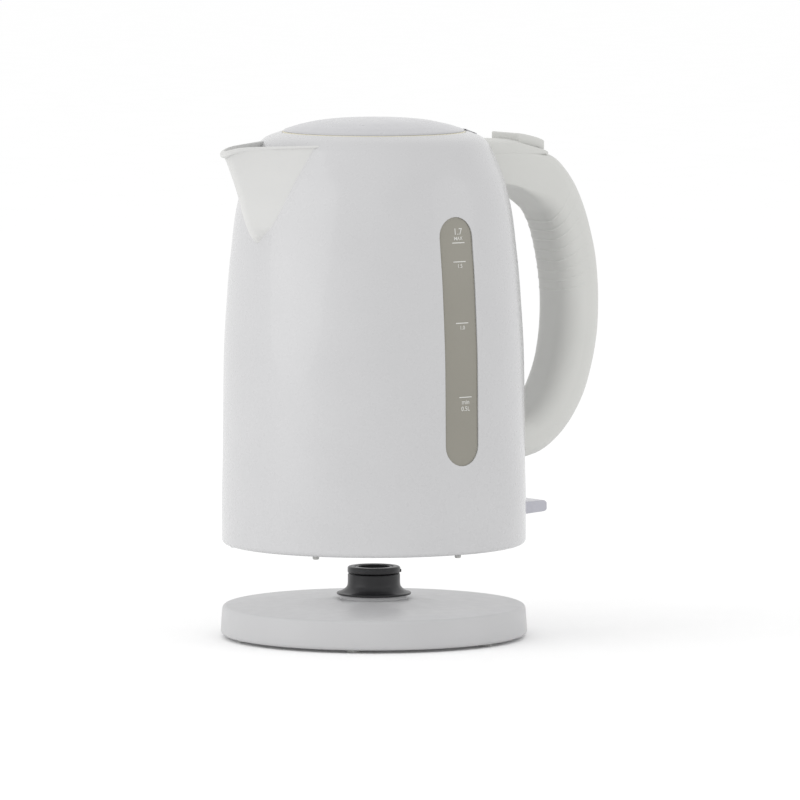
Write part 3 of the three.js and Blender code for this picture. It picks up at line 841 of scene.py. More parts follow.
@dataclass
class PlugTower:
    """The black central plug with its flare, groove and loose top ring."""

    neck: float = 13.4
    flare: float = 19.05
    stem: float = 12.0
    bore: float = 8.2
    top: float = 36.0
    ledge: float = 32.4
    collar_top: float = 36.2
    key_turn: float = -32.0

    def plug_outline(self) -> Points:
        """Lists the plug's section from its foot to the floor of its bore.

        Returns:
            Points of radius and height.
        """
        flare = smooth_curve([(self.flare - 0.2, 22.8), (17.0, 23.4), (15.0, 24.6), (13.7, 26.2),
                              (self.neck, 28.4)])
        return [(0, 6), (self.stem, 6), (self.stem, 21.8), (self.flare - 0.3, 21.8), (self.flare, 22.1),
                (self.flare, 22.6), *flare, (self.neck, self.ledge - 0.4), (self.neck - 0.35, self.ledge),
                (9.4, self.ledge), (9.4, self.top - 0.2), (9.1, self.top), (self.bore, self.top),
                (self.bore, 20.6), (0, 20.6)]

    def collar_outline(self) -> Points:
        """Lists the loose ring's section.

        Returns:
            Points of radius and height.
        """
        low, top = self.ledge + 0.5, self.collar_top
        return [(9.8, low), (13.2, low), (13.5, low + 0.3), (13.5, top - 1.1),
                *arc((12.4, top - 1.1), 1.1, 10, 90, 5), (10.4, top), (9.8, top - 0.6)]

    def build(self, looks: Finishes) -> None:
        """Builds the tower.

        Args:
            looks: The finishes.
        """
        plug = spun("plug_body", self.plug_outline(), steps=96, closed=False)
        settle(plug, Body.BASE, looks.black, ["connector_plug"])
        collar = spun("plug_ring", self.collar_outline(), steps=96)
        settle(collar, Body.SWIVEL, looks.black, ["connector_collar"])
        key = slab("plug_key", rectangle(13.2, 33.1, 14.0, 34.6), 1.2)
        key.data.transform(Matrix.Rotation(math.radians(self.key_turn), 4, "Z"))
        settle(bevelled(key, 0.2), Body.SWIVEL, looks.black)


# ---------------------------------------------------------------- jug
@dataclass
class Jug:
    """The jug's shell, collar, underside and everything that is moulded with them."""

    profile: Outline = (
        (77.7, 1.4), (77.72, 12), (77.7, 24), (77.3, 42), (77.05, 64), (76.8, 87), (76.4, 102), (75.4, 119),
        (74.0, 138), (72.6, 151), (71.1, 164), (69.5, 173), (66.5, 185), (63.6, 192.5), (60.7, 199),
        (58.8, 203.0),
    )
    wall: float = 2.4
    bottom: float = -1.1
    window_width: float = 20.4
    window_low: float = 44.0
    window_high: float = 169.5
    window_x: float = 1.0
    lug_offset: float = 18.0
    nubs: int = 6
    nub_circle: float = 72.0
    first_nub: float = -88.8

    def radius_at(self, z: float) -> float:
        """Gives the wall's outer radius.

        Args:
            z: The height in the jug's frame.

        Returns:
            The radius in millimetres.
        """
        curve = smooth_curve(self.profile, 8)
        for (r0, z0), (r1, z1) in zip(curve, curve[1:]):
            if z0 <= z <= z1:
                return r0 + (r1 - r0) * (z - z0) / (z1 - z0)
        return curve[0][0] if z < curve[0][1] else curve[-1][0]

    def wall_outline(self) -> Points:
        """Lists the shell's section, outside up and inside down.

        Returns:
            Points of radius and height.
        """
        outside = smooth_curve(self.profile, 5)
        inside = [(r - self.wall, z) for r, z in reversed(outside)]
        inside[0] = (56.4, 203.4)
        foot = arc((75.3, 1.3), 2.4, -90, -4, 6)
        ledge = [(75.3, 23.9), (71.0, 23.9), (71.0, 21.5), (75.3, 21.5)]
        upper = [point for point in inside if point[1] > 25.0]
        return [*foot, *outside, (58.5, 203.4), *upper, *ledge, (75.3, self.bottom)]

    def pill(self, name: str, grow: float) -> Piece:
        """Makes an upright pill that cuts the gauge's opening.

        Args:
            name: The cutter's name.
            grow: What is added to its half width.

        Returns:
            The cutter.
        """
        r = self.window_width / 2 + grow
        mid = self.window_width / 2
        upper = arc((0, self.window_high - mid), r, 0, 180, 14)
        lower = arc((0, self.window_low + mid), r, 180, 360, 14)
        return shifted(slab(name, upper + lower, 15.0, LEVEL.lift), self.window_x, -75.0)

    def build(self, looks: Finishes) -> None:
        """Builds the jug.

        Args:
            looks: The finishes.
        """
        shell = spun("jug_wall", self.wall_outline(), LEVEL.lift, 192)
        pour = slab("pour_cutter", rectangle(-80, 168, -50, 197), 14.0, LEVEL.lift)
        slot = slab("lever_cutter", rectangle(70, 5.6, 84, 18.2), 12.0, LEVEL.lift)
        cut(shell, self.pill("gauge_cutter", 0.0), pour, slot)
        settle(bevelled(shell, 0.3, 2, 60.0), Body.KETTLE, looks.gloss, ["jug_shell"])
        self.build_collar(looks)
        self.build_underside(looks)

    def build_collar(self, looks: Finishes) -> None:
        """Builds the shoulder ring between the jug and the lid.

        Args:
            looks: The finishes.
        """
        shoulder = smooth_curve([(58.5, 203.4), (57.3, 204.85), (55.2, 206.5), (52.4, 207.8),
                                 (48.2, 209.2)], 5)
        outline = [(56.1, 203.15), (58.25, 203.15), *shoulder, (47.4, 209.35), (46.9, 209.0), (46.9, 202.2),
                   (48.7, 202.2), (48.7, 207.1), (52.3, 206.0), (54.1, 204.7), (54.1, 197.2), (56.1, 197.2)]
        collar = spun("shoulder_ring", outline, LEVEL.lift, 160)
        notch = slab("hinge_cutter", rectangle(44, 200, 54.15, 214), 16.0, LEVEL.lift)
        gap = slab("pour_gap_cutter", rectangle(-60, 190, -52, 202.4), 20.0, LEVEL.lift)
        cut(collar, notch, gap)
        settle(collar, Body.KETTLE, looks.gloss, ["top_collar"])
        for side in (-1, 1):
            lug = slab(f"hinge_lug_{(side + 3) // 2}", rectangle(48.6, 203.0, 52.4, 206.6), 1.5, LEVEL.lift)
            shifted(lug, 0.0, side * self.lug_offset)
            settle(bevelled(lug, 0.4), Body.KETTLE, looks.gloss)

    def build_underside(self, looks: Finishes) -> None:
        """Builds the dished bottom cover with its nubs.

        Args:
            looks: The finishes.
        """
        outline = [(23.6, 4.2), (61.6, 4.2), (63.0, 3.2), (64.8, -0.2), (66.0, -0.7), (74.6, -0.7),
                   (75.0, -0.3), (75.0, 1.6), (66.4, 1.6), (63.7, 6.4), (23.6, 6.4)]
        cover = spun("bottom_dish", outline, LEVEL.lift, 128)
        settle(cover, Body.KETTLE, looks.gloss, ["bottom_cover"])
        nubs = []
        rounded = [(0, -2.9), (0.9, -2.9), *arc((1.0, -2.3), 0.6, -80, 0, 3), (1.7, -0.6), (0, -0.6)]
        for number in range(self.nubs):
            centre = on_circle(self.nub_circle, self.first_nub + number * 360.0 / self.nubs)
            nubs.append(spun(f"nub_{number}", rounded, LEVEL.lift, 20, centre, False))
        settle(joined("bottom_nubs", nubs), Body.KETTLE, looks.rubber)


@dataclass
class Beak:
    """The pouring beak: level sections with straight sides and a round nose, as a walled sheet."""

    jug: Jug
    levels: tuple[Triple, ...] = (
        (153.4, 2.4, 70.6), (155.8, 6.0, 72.7), (158.2, 8.4, 74.6), (161.2, 10.6, 76.2), (165.6, 13.5, 78.2),
        (172.0, 16.9, 80.4), (181.0, 20.1, 83.2), (190.0, 22.8, 86.7), (196.5, 24.6, 89.6),
        (199.2, 25.3, 91.3),
        (201.0, 25.8, 93.0),
    )
    lip: tuple[float, float] = (1.25, 0.75)
    lip_fade: float = 9.0
    lip_inset: float = 1.0
    dip: float = 2.6
    dip_length: float = 3.4
    slope: float = 1.2
    nose: float = 4.6
    wall: float = 2.1
    side_steps: int = 10
    nose_steps: int = 12
    rim_start: float = 186.0

    def section(self, z: float, half: float, reach: float, rise: float) -> list[Vector]:
        """Lists one level section from the far side round the nose to the near side.

        Args:
            z: The height in the jug's frame.
            half: Half the width at the wall.
            reach: How far the nose stands from the axis.
            rise: From 0 to 1, how much of the rim's dip at the nose this section takes.

        Returns:
            The points in millimetres.
        """
        buried = self.jug.radius_at(min(z + 3.0 * rise, 202.9)) - 1.0 - 1.2 * rise
        tip = min(self.nose, half * 0.5)
        centre = reach - tip
        root = min(math.sqrt(buried ** 2 - half ** 2), centre - 3.0)
        lean = math.atan2(half, centre - root)
        swing = math.pi / 2 - lean + math.asin(min(1.0, tip / math.hypot(half, centre - root)))
        turn = math.degrees(swing)
        round_nose = arc((centre, 0.0), tip, turn, -turn, self.nose_steps)
        wall, first = Vector((root, half)), Vector(round_nose[0])
        side = [tuple(wall.lerp(first, i / self.side_steps)) for i in range(self.side_steps)]
        flat = side + round_nose + [(x, -y) for x, y in reversed(side)]
        span = max(reach - root, 0.1)
        result = []
        for x, y in flat:
            back = reach - x
            lifted = self.dip * (1.0 - math.exp(-back / self.dip_length)) + self.slope * back / span
            result.append(Vector((-x, y, z + LEVEL.lift + rise * lifted)))
        return result

    def build(self, looks: Finishes) -> None:
        """Builds the beak.

        Args:
            looks: The finishes.
        """
        heights = smooth_curve([(z, half) for z, half, _ in self.levels], 4)
        reaches = smooth_curve([(z, reach) for z, _, reach in self.levels], 4)
        top = self.levels[-1][0]
        rings = []
        for (z, half), (_, reach) in zip(heights, reaches):
            rise = max(0.0, (z - self.rim_start) / (top - self.rim_start)) ** 1.5
            rings.append(self.section(z, max(half, 0.5), reach, rise))
        rows, columns = len(rings) - 1, len(rings[0]) - 1
        beak = sheet("pouring_beak", columns, rows, lambda u, v: rings[round(v * rows)][round(u * columns)])
        walled(beak, self.wall, self.inward(beak))
        lip = swept_bead("beak_lip", *self.lip_line(rings[-1]))
        settle(lip, Body.KETTLE, looks.satin)
        settle(bevelled(beak, 0.9, 5, 40.0), Body.KETTLE, looks.satin, ["spout_beak"])

    def lip_line(self, rim: Sequence[Vector]) -> tuple[list[Vector], list[float]]:
        """Gives the middle line of the lip, just inside the rim, and its radius at each point.

        Args:
            rim: The rim's points in millimetres.

        Returns:
            The line and the radii, thickest at the nose.
        """
        foremost = min(point.x for point in rim)
        middle = sum(point.x for point in rim) / len(rim)
        thick, thin = self.lip
        line, radii = [], []
        for point in rim:
            radius = thin + (thick - thin) * math.exp((foremost - point.x) / self.lip_fade)
            inwards = Vector((middle - point.x, -point.y, 0.0)).normalized()
            line.append(point + inwards * self.lip_inset - Vector((0.0, 0.0, radius - 0.35)))
            radii.append(radius)
        return line, radii

    @staticmethod
    def inward(beak: Piece) -> float:
        """Tells which Solidify offset puts the wall inside the beak.

        Args:
            beak: The sheet.

        Returns:
            -1.0 or 1.0.
        """
        foremost = min(beak.data.polygons, key=lambda face: face.center.x)
        return -1.0 if foremost.normal.x < 0 else 1.0


@dataclass
class WaterGauge:
    """The smoked window and its printed scale, which follow the jug's wall."""

    jug: Jug
    inset: float = 0.6
    clearance: float = 0.08
    thickness: float = 1.4
    mark_length: float = 7.7
    mark_height: float = 0.45
    print_sink: float = 0.54
    print_wall: float = 0.05
    letter_rise: float = 0.03
    letter_spread: float = 0.01
    narrowest: float = 0.02
    lines: tuple[tuple[float, float], ...] = ((2.2, 156.5), (2.2, 147.0), (2.0, 116.2), (3.2, 78.8))
    labels: tuple[tuple[str, float, float, float], ...] = (
        ("1.7", 2.2, 162.0, 4.6), ("MAX", 2.2, 158.6, 2.5), ("1.5", 2.2, 144.8, 2.7),
        ("1.0", 2.0, 113.8, 2.7),
        ("min", 3.2, 76.3, 3.3), ("0.5L", 3.2, 72.9, 3.2),
    )

    def on_wall(self, x: float, z: float, sink: float) -> Vector:
        """Gives a point on the wall's gauge side.

        Args:
            x: How far to the side.
            z: The height in the jug's frame.
            sink: How deep under the wall's outer surface.

        Returns:
            The point in millimetres.
        """
        radius = self.jug.radius_at(z) - sink
        return Vector((x, -math.sqrt(radius ** 2 - x ** 2), z + LEVEL.lift))

    def pane(self) -> Piece:
        """Makes the curved pane.

        Returns:
            The sheet, walled afterwards by build.
        """
        half = self.jug.window_width / 2 - self.clearance
        low = self.jug.window_low + self.clearance
        high = self.jug.window_high - self.clearance

        def place(u: float, v: float) -> Vector:
            """Maps the grid to the pill, with rows set closer towards its ends.

            Args:
                u: From 0 to 1 across the pill.
                v: From 0 to 1 up the pill.

            Returns:
                The point in millimetres.
            """
            z = low + (high - low) * (0.5 - 0.5 * math.cos(math.pi * v))
            edge = min(z - low, high - z)
            inside = max(half ** 2 - max(half - edge, 0.0) ** 2, self.narrowest ** 2)
            return self.on_wall(self.jug.window_x + (2 * u - 1) * math.sqrt(inside), z, self.inset)

        return sheet("gauge_pane", 16, 120, place, merge=True)

    def line(self, name: str, x: float, z: float) -> Piece:
        """Makes one printed line.

        Args:
            name: Its name.
            x: Where its middle is.
            z: Its height.

        Returns:
            The line as a thin walled sheet.
        """
        mark = sheet(name, 8, 1, lambda u, v: self.on_wall(
            x + (u - 0.5) * self.mark_length, z + (v - 0.5) * self.mark_height, self.print_sink))
        return walled(mark, self.print_wall, 0.0)

    def words(self, text: str, x: float, z: float, size: float) -> Piece:
        """Makes one printed number or word.

        Args:
            text: What it says.
            x: Where its middle is.
            z: The height of its middle.
            size: The letters' height.

        Returns:
            The print as a thin mesh on the pane.
        """
        curve = bpy.data.curves.new(text, "FONT")
        curve.body = text
        curve.size = size
        curve.align_x = "CENTER"
        curve.align_y = "CENTER"
        curve.extrude = self.letter_rise
        curve.offset = self.letter_spread
        source = bpy.data.objects.new(text, curve)
        bpy.context.scene.collection.objects.link(source)
        bpy.context.view_layer.update()
        graph = bpy.context.evaluated_depsgraph_get()
        data = bpy.data.meshes.new_from_object(source.evaluated_get(graph))
        bpy.data.objects.remove(source)
        for vert in data.vertices:
            across, up, out = vert.co
            vert.co = self.on_wall(x + across, z + up, self.print_sink - out) * MM
        piece = bpy.data.objects.new(text, data)
        bpy.context.scene.collection.objects.link(piece)
        return piece

    def build(self, looks: Finishes) -> None:
        """Builds the gauge.

        Args:
            looks: The finishes.
        """
        pane = self.pane()
        front = max(pane.data.polygons, key=lambda face: face.area)
        walled(pane, self.thickness, -1.0 if front.normal.y < 0 else 1.0)
        settle(bevelled(pane, 0.25, 2, 50.0), Body.KETTLE, looks.window, ["water_window"])
        marks = [self.line(f"line_{number}", x, z) for number, (x, z) in enumerate(self.lines)]
        prints = [self.words(*label) for label in self.labels]
        settle(joined("gauge_lines", marks), Body.KETTLE, looks.ink)
        settle(joined("gauge_numbers", prints), Body.KETTLE, looks.ink)


# ---------------------------------------------------------------- lid
@dataclass
class Lid:
    """The lid's outer cap, inner tray and seal."""

    radius: float = 46.2
    edge: float = 209.6
    hinge_x: float = 50.6
    hinge_z: float = 205.4
    arm_half: float = 9.0
    barrel_radius: float = 2.5
    pin_bore: float = 1.5

    def build(self, looks: Finishes) -> None:
        """Builds the lid.

        Args:
            looks: The finishes.
        """
        crown = smooth_curve([(46.05, 210.1), (45.2, 210.7), (43.4, 211.3), (40.2, 212.3), (37.0, 213.15),
                              (29.0, 214.8), (20.0, 215.8), (10.0, 216.25), (0.0, 216.4)], 5)
        outline = [(0, 214.3), (20, 213.6), (30, 212.7), (39, 211.0), (40, self.edge),
                   (self.radius - 0.2, self.edge), (self.radius, self.edge + 0.2), *crown]
        cap = spun("lid_cap", outline, LEVEL.lift, 160, closed=False)
        hinge = (self.hinge_x, self.hinge_z)
        tongue = slab("lid_tongue", [
            (41.5, 209.62), (46.3, 209.62), (47.4, 208.6), *arc(hinge, 2.55, 110, 25), (53.3, 206.7),
            (53.3, 207.4),
            (52.4, 207.8), (50.6, 208.4), (48.2, 209.2), (46.9, 209.75), (45.6, 210.05), (41.5, 210.05),
        ], 15.8, LEVEL.lift)
        cut(cap, tongue, operation="UNION")
        settle(bevelled(cap, 0.25, 2, 50.0), Body.LID, looks.lid, ["lid_outer"])
        tray = spun("lid_tray", [
            (0, 206.9), (41.2, 206.9), (41.2, 203.2), (41.6, 202.8), (42.6, 202.8), (43.0, 203.2),
            (43.0, 208.9),
            (32, 208.9), (32, 210.7), (30, 210.7), (30, 208.9), (0, 208.9)], LEVEL.lift, 128, closed=False)
        arm = slab("lid_arm", rectangle(40, 203.8, self.hinge_x, 207.0), self.arm_half, LEVEL.lift)
        barrel = slab("lid_barrel", arc(hinge, self.barrel_radius, 0, 348, 29), self.arm_half, LEVEL.lift)
        bore = slab("pin_cutter", arc(hinge, self.pin_bore, 0, 345, 23), self.arm_half + 3.0, LEVEL.lift)
        cut(tray, arm, barrel, operation="UNION")
        cut(tray, bore)
        settle(tray, Body.LID, looks.satin, ["lid_inner"])
        seal = spun("lid_gasket", [(43.3, 207.3), (45.6, 207.3), (46.7, 208.4), (46.7, 209.3),
        (46.3, 209.58),
                                   (43.3, 209.58)], LEVEL.lift, 128)
        settle(seal, Body.LID, looks.silicone, ["lid_seal"])


# ---------------------------------------------------------------- handle
Station = tuple[float, float, float, float, float]


@dataclass
class Grip:
    """The loop handle, swept down its stations, with fine ribs on the palm side for the fingers.

    Each station is the outer point's x and z, the inner point's x and z, and the rounding of the edges.
    """

    width: float = 32.0
    stations: tuple[Station, ...] = (
        (58, 196.4, 58, 181.6, 0.5), (70, 196.4, 69, 181.0, 0.5), (84, 196.3, 80, 178.6, 1.0),
        (96, 195.9, 89.3, 173.8, 3.2), (104.6, 193.7, 95.4, 169.4, 6.0), (112.4, 188.2, 100.2, 164.4, 8.6),
        (120.0, 179.2, 103.8, 157.4, 10.0), (125.9, 167.8, 106.2, 149.8, 10.4),
        (130.3, 155.2, 108.3, 140.4, 10.6),
        (133.6, 141.6, 109.9, 131.0, 10.6), (135.3, 125.9, 110.8, 120.5, 10.6),
        (135.4, 110.8, 110.7, 108.8, 10.6),
        (134.2, 98.0, 109.6, 98.2, 10.6), (131.0, 83.8, 107.2, 87.2, 10.6), (125.8, 69.4, 102.8, 76.4, 10.4),
        (117.4, 56.2, 97.4, 67.6, 10.2), (106.5, 46.3, 91.0, 61.2, 9.0), (94.0, 40.2, 85.0, 58.0, 7.5),
        (74.0, 37.0, 74.0, 57.0, 6.5),
    )
    arc_steps: int = 9
    rib_heights: tuple[float, ...] = (171.0, 165.2, 159.0, 152.4, 146.0, 139.8, 133.6, 127.4)
    edge_limit: float = 0.46
    rib_height: float = 0.22
    rib_half: float = 0.9
    rib_zone: tuple[float, float] = (178.0, 120.0)
    latch_half: float = 12.8

    def path(self) -> list[Station]:
        """Runs smooth curves through the stations, with close steps where the ribs are.

        Returns:
            The stations to sweep through, from the top end to the low one.
        """
        columns = [smooth_curve([(i, station[k]) for i, station in enumerate(self.stations)], 40)
                   for k in range(5)]
        close = [tuple(column[i][1] for column in columns) for i in range(len(columns[0]))]
        middle = [(station[1] + station[3]) / 2 for station in close]
        high, low = self.rib_zone
        return [station for i, (station, z) in enumerate(zip(close, middle))
                if low < z < high or i % 10 == 0 or i == len(close) - 1]

    def section(self, depth: float, r: float) -> list[Triple]:
        """Lists one section from the middle of the back round to itself.

        Args:
            depth: The grip's depth here.
            r: The rounding of its edges.

        Returns:
            Points across the grip, away from the palm, and how much of a rib's height they take.
        """
        wide = self.width / 2
        edge = min(r, depth * self.edge_limit)
        half = [((wide - edge) * k / 4, depth, 0.0) for k in range(4)]
        for number, (u, v) in enumerate(arc((wide - edge, depth - edge), edge, 90, 0, self.arc_steps)):
            half.append((u, v, max(0.0, number / self.arc_steps - 0.5)))
        flat = depth - 2 * edge
        half += [(wide, edge + flat * (1 - k / 4), 0.5 + k / 8) for k in (1, 2, 3)]
        half += [(u, v, 1.0) for u, v in arc((wide - edge, edge), edge, 0, -90, self.arc_steps)]
        half += [((wide - edge) * k / 4, 0.0, 1.0) for k in (3, 2, 1, 0)]
        return half + [(-u, v, w) for u, v, w in reversed(half)]

    def rib_at(self, z: float) -> float:
        """Gives how far the skin stands proud for the ribs.

        Args:
            z: The height in the jug's frame.

        Returns:
            The height of the rib there in millimetres, or 0 between ribs.
        """
        near = min(abs(z - rib) for rib in self.rib_heights)
        if near >= self.rib_half:
            return 0.0
        return self.rib_height * 0.5 * (1 + math.cos(math.pi * near / self.rib_half))

    def ring(self, station: Station) -> list[Vector]:
        """Places a station's section.

        Args:
            station: The station.

        Returns:
            Its points in millimetres.
        """
        palm = Vector((station[2], 0, station[3]))
        away = Vector((station[0], 0, station[1])) - palm
        depth = away.length
        away.normalize()
        proud = self.rib_at((station[1] + station[3]) / 2)
        ring = []
        for u, v, share in self.section(depth, station[4]):
            lean = Vector((u / self.width * 2, 0, v / depth * 2 - 1))
            grow = proud * share / max(lean.length, 0.5)
            place = palm + away * (v + lean.z * grow)
            ring.append(Vector((place.x, u + lean.x * grow, place.z + LEVEL.lift)))
        return ring

    def build(self, looks: Finishes) -> None:
        """Builds the grip.

        Args:
            looks: The finishes.
        """
        grip = lofted("loop_grip", [self.ring(station) for station in self.path()])
        keep_out = [(0, 20), (77.6, 20), (77.0, 64), (76.7, 87), (75.3, 119), (72.5, 151), (69.4, 173),
                    (66.4, 185), (60.6, 199), (0, 199)]
        room = slab("latch_room_cutter", rectangle(56.0, 191.6, 99.8, 200.0), self.latch_half, LEVEL.lift)
        cut(grip, spun("jug_cutter", keep_out, LEVEL.lift, 96, closed=False), room)
        settle(grip, Body.KETTLE, looks.grip, ["grip_outer_shell", "grip_inner_shell"], 50.0)


@dataclass
class HandleTop:
    """The cover between lid and grip, with the lid button in its pocket."""

    half_width: float = 15.7
    button_half: float = 12.0
    crown_rise: float = 1.9
    crown_steps: int = 20
    fall: float = 0.058
    fall_start: float = 60.0
    side_gap: float = 0.3
    spring_x: float = 90.0
    spring_bore: float = 3.2

    def crown(self) -> Piece:
        """Makes the arched top of the cover, which falls gently to the back.

        Returns:
            The arch, to be joined to the cover.
        """
        half = self.half_width - 0.9
        turns = [math.pi * k / self.crown_steps for k in range(self.crown_steps + 1)]
        top = [(half * math.cos(a), 202.4 + self.crown_rise * math.sin(a)) for a in turns]
        arch = slab("cover_crown", [(half, 200.9), *top, (-half, 200.9)], 12.9, LEVEL.lift)
        arch.data.transform(Matrix.Translation((68.9 * MM, 0, 0)) @ Matrix.Rotation(math.pi / 2, 4, "Z"))
        for vert in arch.data.vertices:
            vert.co.z -= self.fall * (vert.co.x - self.fall_start * MM)
        return arch

    def build(self, looks: Finishes) -> None:
        """Builds the cover and the button.

        Args:
            looks: The finishes.
        """
        cover = slab("handle_cover", [
            (56.0, 195.6), (56.0, 203.0), (66.0, 202.5), (76.0, 202.0), (81.7, 201.5), (87.0, 200.0),
            (92.0, 198.8), (96.0, 197.7), (98.8, 196.4), (98.8, 195.2), (84.0, 195.6), (70.0, 195.6),
        ], self.half_width, LEVEL.lift)
        bevelled(cover, 0.8, 3, 50.0)
        baked(cover)
        crown = self.crown()
        pocket_half = self.button_half + self.side_gap
        pocket = slab("pocket_cutter", rectangle(81.8, 190.6, 100.5, 212), pocket_half, LEVEL.lift)
        jug_side = spun("shoulder_cutter", [
            (0, 180), (66.6, 186), (64.0, 192.5), (61.1, 199), (59.1, 203.2), (57.9, 204.6),
            (57.0, 214), (0, 214),
        ], LEVEL.lift, 96, closed=False)
        room = slab("button_room_cutter", rectangle(56.0, 190.0, 96.0, 200.7), 13.0, LEVEL.lift)
        cut(cover, crown, operation="UNION")
        cut(cover, pocket, room, jug_side)
        settle(cover, Body.KETTLE, looks.grip, ["handle_top_cover"])
        button = slab("lid_release", [
            (82.1, 198.4), (82.1, 206.4), (86.0, 205.8), (90.2, 204.9), (94.4, 203.8), (97.0, 202.9),
            (98.9, 202.1), (98.9, 197.3), (95.5, 197.3), (94.5, 198.4),
        ], self.button_half, LEVEL.lift)
        baked(bevelled(button, 0.9, 4, 50.0))
        bore = spun("spring_cutter", rectangle(0, 190, self.spring_bore, 200.6), LEVEL.lift, 32,
                    (self.spring_x, 0.0), False)
        cut(button, bore)
        settle(button, Body.BUTTON, looks.grip, ["lid_button"])


@dataclass
class Switch:
    """The rocker lever under the handle."""

    pivot_z: float = 12.6
    end_x: float = 101.6
    half_width: float = 11.0

    def build(self, looks: Finishes) -> None:
        """Builds the lever.

        Args:
            looks: The finishes.
        """
        z, end = self.pivot_z, self.end_x
        lever = slab("switch_paddle", [
            (60, z - 1.4), (65, z - 3.2), (76, z - 3.7), (88, z - 3.4), (end - 1, z - 2.6), (end, z - 1.6),
            (end, z + 2.0), (end - 1.4, z + 3.2), (92, z + 2.9), (84, z + 3.1), (76, z + 3.7), (65, z + 3.2),
            (60, z + 1.4)], self.half_width, LEVEL.lift)
        settle(bevelled(lever, 1.5, 4, 40.0), Body.LEVER, looks.lever, ["switch_lever"])


# ---------------------------------------------------------------- CAD nodes that stay
class CarriedNodes:
    """Gives each CAD node that stays its finish."""

    def __init__(self, looks: Finishes) -> None:
        """Sorts the nodes by finish.

        Args:
            looks: The finishes.
        """
        self.by_node = {
            looks.base: ["base_bottom_cover"],
            looks.black: ["cord_inlet", "control_housing", "kettle_socket", "latch_slider", "trip_arm"],
            looks.steel: ["base_screw_1", "base_screw_2", "base_screw_3", "bottom_screw_1", "bottom_screw_2",
                          "bottom_screw_3", "heating_plate", "heating_element", "bimetal_disc_1",
                          "bimetal_disc_2",
                          "lid_hinge_pin", "lid_spring", "button_spring", "switch_pivot_pin", "trip_arm_pin",
                          "filter_mesh"],
            looks.brass: ["plug_ring_contact", "plug_centre_contact", "socket_centre_pin",
                          "socket_ring_contact"],
            looks.satin: ["plate_clamp_ring", "steam_tube", "filter_frame"],
            looks.silicone: ["plate_seal", "window_gasket"],
            looks.lamp: ["indicator_lamp"],
        }

    def dress(self) -> None:
        """Puts the finishes on."""
        for material, names in self.by_node.items():
            for name in names:
                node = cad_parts[name]
                node.data.materials.clear()
                node.data.materials.append(material)
                LOG.info("%s keeps its CAD shape in %s", name, material.name)


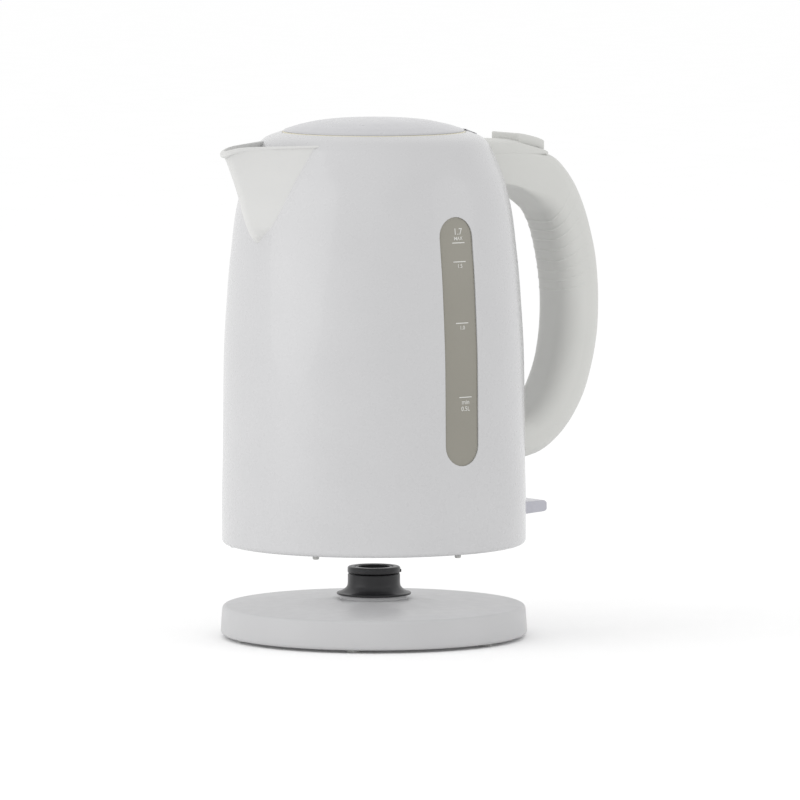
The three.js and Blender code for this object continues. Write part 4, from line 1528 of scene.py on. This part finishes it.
# ---------------------------------------------------------------- studio
@dataclass
class Studio:
    """The floor, the lights and the camera."""

    azimuth: float = -35.0
    elevation: float = 5.07
    distance: float = 4.4
    lens: float = 387.6
    aim: Triple = (10.93, -7.66, 121.4)
    sensor: float = 36.0
    far: float = 50.0
    floor_half: float = 16.0
    floor_glow: float = 0.04

    def look_at(self, thing: Piece, place: Vector, target: Vector) -> None:
        """Stands a camera or a light at a place, facing a target."""
        thing.location = place
        thing.rotation_euler = (target - place).to_track_quat("-Z", "Y").to_euler()

    def camera(self) -> None:
        """Sets up the camera."""
        data = bpy.data.cameras.new("studio_camera")
        data.lens = self.lens
        data.sensor_width = self.sensor
        data.clip_end = self.far
        camera = bpy.data.objects.new("studio_camera", data)
        bpy.context.scene.collection.objects.link(camera)
        bearing, height = math.radians(self.azimuth), math.radians(self.elevation)
        level = math.cos(height)
        away = Vector((math.sin(bearing) * level, -math.cos(bearing) * level, math.sin(height)))
        target = Vector(self.aim) * MM
        self.look_at(camera, target + away * self.distance, target)
        bpy.context.scene.camera = camera

    def area_light(self, name: str, place: Triple, size: tuple[float, float], power: float,
                   target: Triple = (0.0, 0.0, 0.14)) -> None:
        """Adds a soft light.

        Args:
            name: Its name.
            place: Where it stands, in metres.
            size: Its width and height in metres.
            power: Its power in watts.
            target: The point that it faces, in metres.
        """
        data = bpy.data.lights.new(name, "AREA")
        data.shape = "ELLIPSE"
        data.size, data.size_y = size
        data.energy = power
        light = bpy.data.objects.new(name, data)
        bpy.context.scene.collection.objects.link(light)
        light.visible_camera = False
        self.look_at(light, Vector(place), Vector(target))

    def floor(self) -> None:
        """Lays the pale floor."""
        mesh = bmesh.new()
        bmesh.ops.create_grid(mesh, x_segments=2, y_segments=2, size=self.floor_half)
        ground = to_object("studio_floor", mesh)
        material, shader = start_material("studio_floor_white")
        skin = place_group(material, GROUPS.moulding, {"Grain Scale": 60.0, "Roughness": 0.9,
                                                       "Roughness Spread": 0.02, "Grain Depth": 0.1})
        link_skin(material, shader, skin, (0.96, 0.96, 0.96), 0.95 / 0.96, 0.00001)
        shader.inputs["Emission Color"].default_value = (1.0, 1.0, 1.0, 1.0)
        shader.inputs["Emission Strength"].default_value = self.floor_glow
        shader.inputs["Specular IOR Level"].default_value = 0.0
        ground.data.materials.append(material)

    def world(self) -> None:
        """Sets an even white surround."""
        world = bpy.data.worlds.new("white_surround")
        bpy.context.scene.world = world
        world.use_nodes = True
        background = world.node_tree.nodes["Background"]
        background.inputs["Color"].default_value = (1.0, 1.0, 1.0, 1.0)
        background.inputs["Strength"].default_value = 1.0

    def build(self) -> None:
        """Sets up the whole studio."""
        bpy.context.scene.view_settings.view_transform = "Standard"
        self.camera()
        self.floor()
        self.world()
        self.area_light("window_left", (-1.9, 0.3, 0.8), (2.4, 1.8), 10.5)
        self.area_light("window_right", (1.3, -1.7, 0.8), (1.6, 1.4), 2.4)
        self.area_light("base_fill", (0.0, 0.0, 0.0462), (0.144, 0.144), 0.03, (0.0, 0.0, 0.0))
        LOG.info("studio ready")


def main() -> None:
    """Builds the kettle piece by piece."""
    logging.basicConfig(level=logging.INFO, format="%(name)s: %(message)s")
    Studio().build()
    looks = Finishes()
    jug = Jug()
    PowerBase().build(looks)
    PlugTower().build(looks)
    jug.build(looks)
    Beak(jug).build(looks)
    WaterGauge(jug).build(looks)
    Lid().build(looks)
    Grip().build(looks)
    HandleTop().build(looks)
    Switch().build(looks)
    CarriedNodes(looks).dress()


if __name__ == "__main__":
    main()
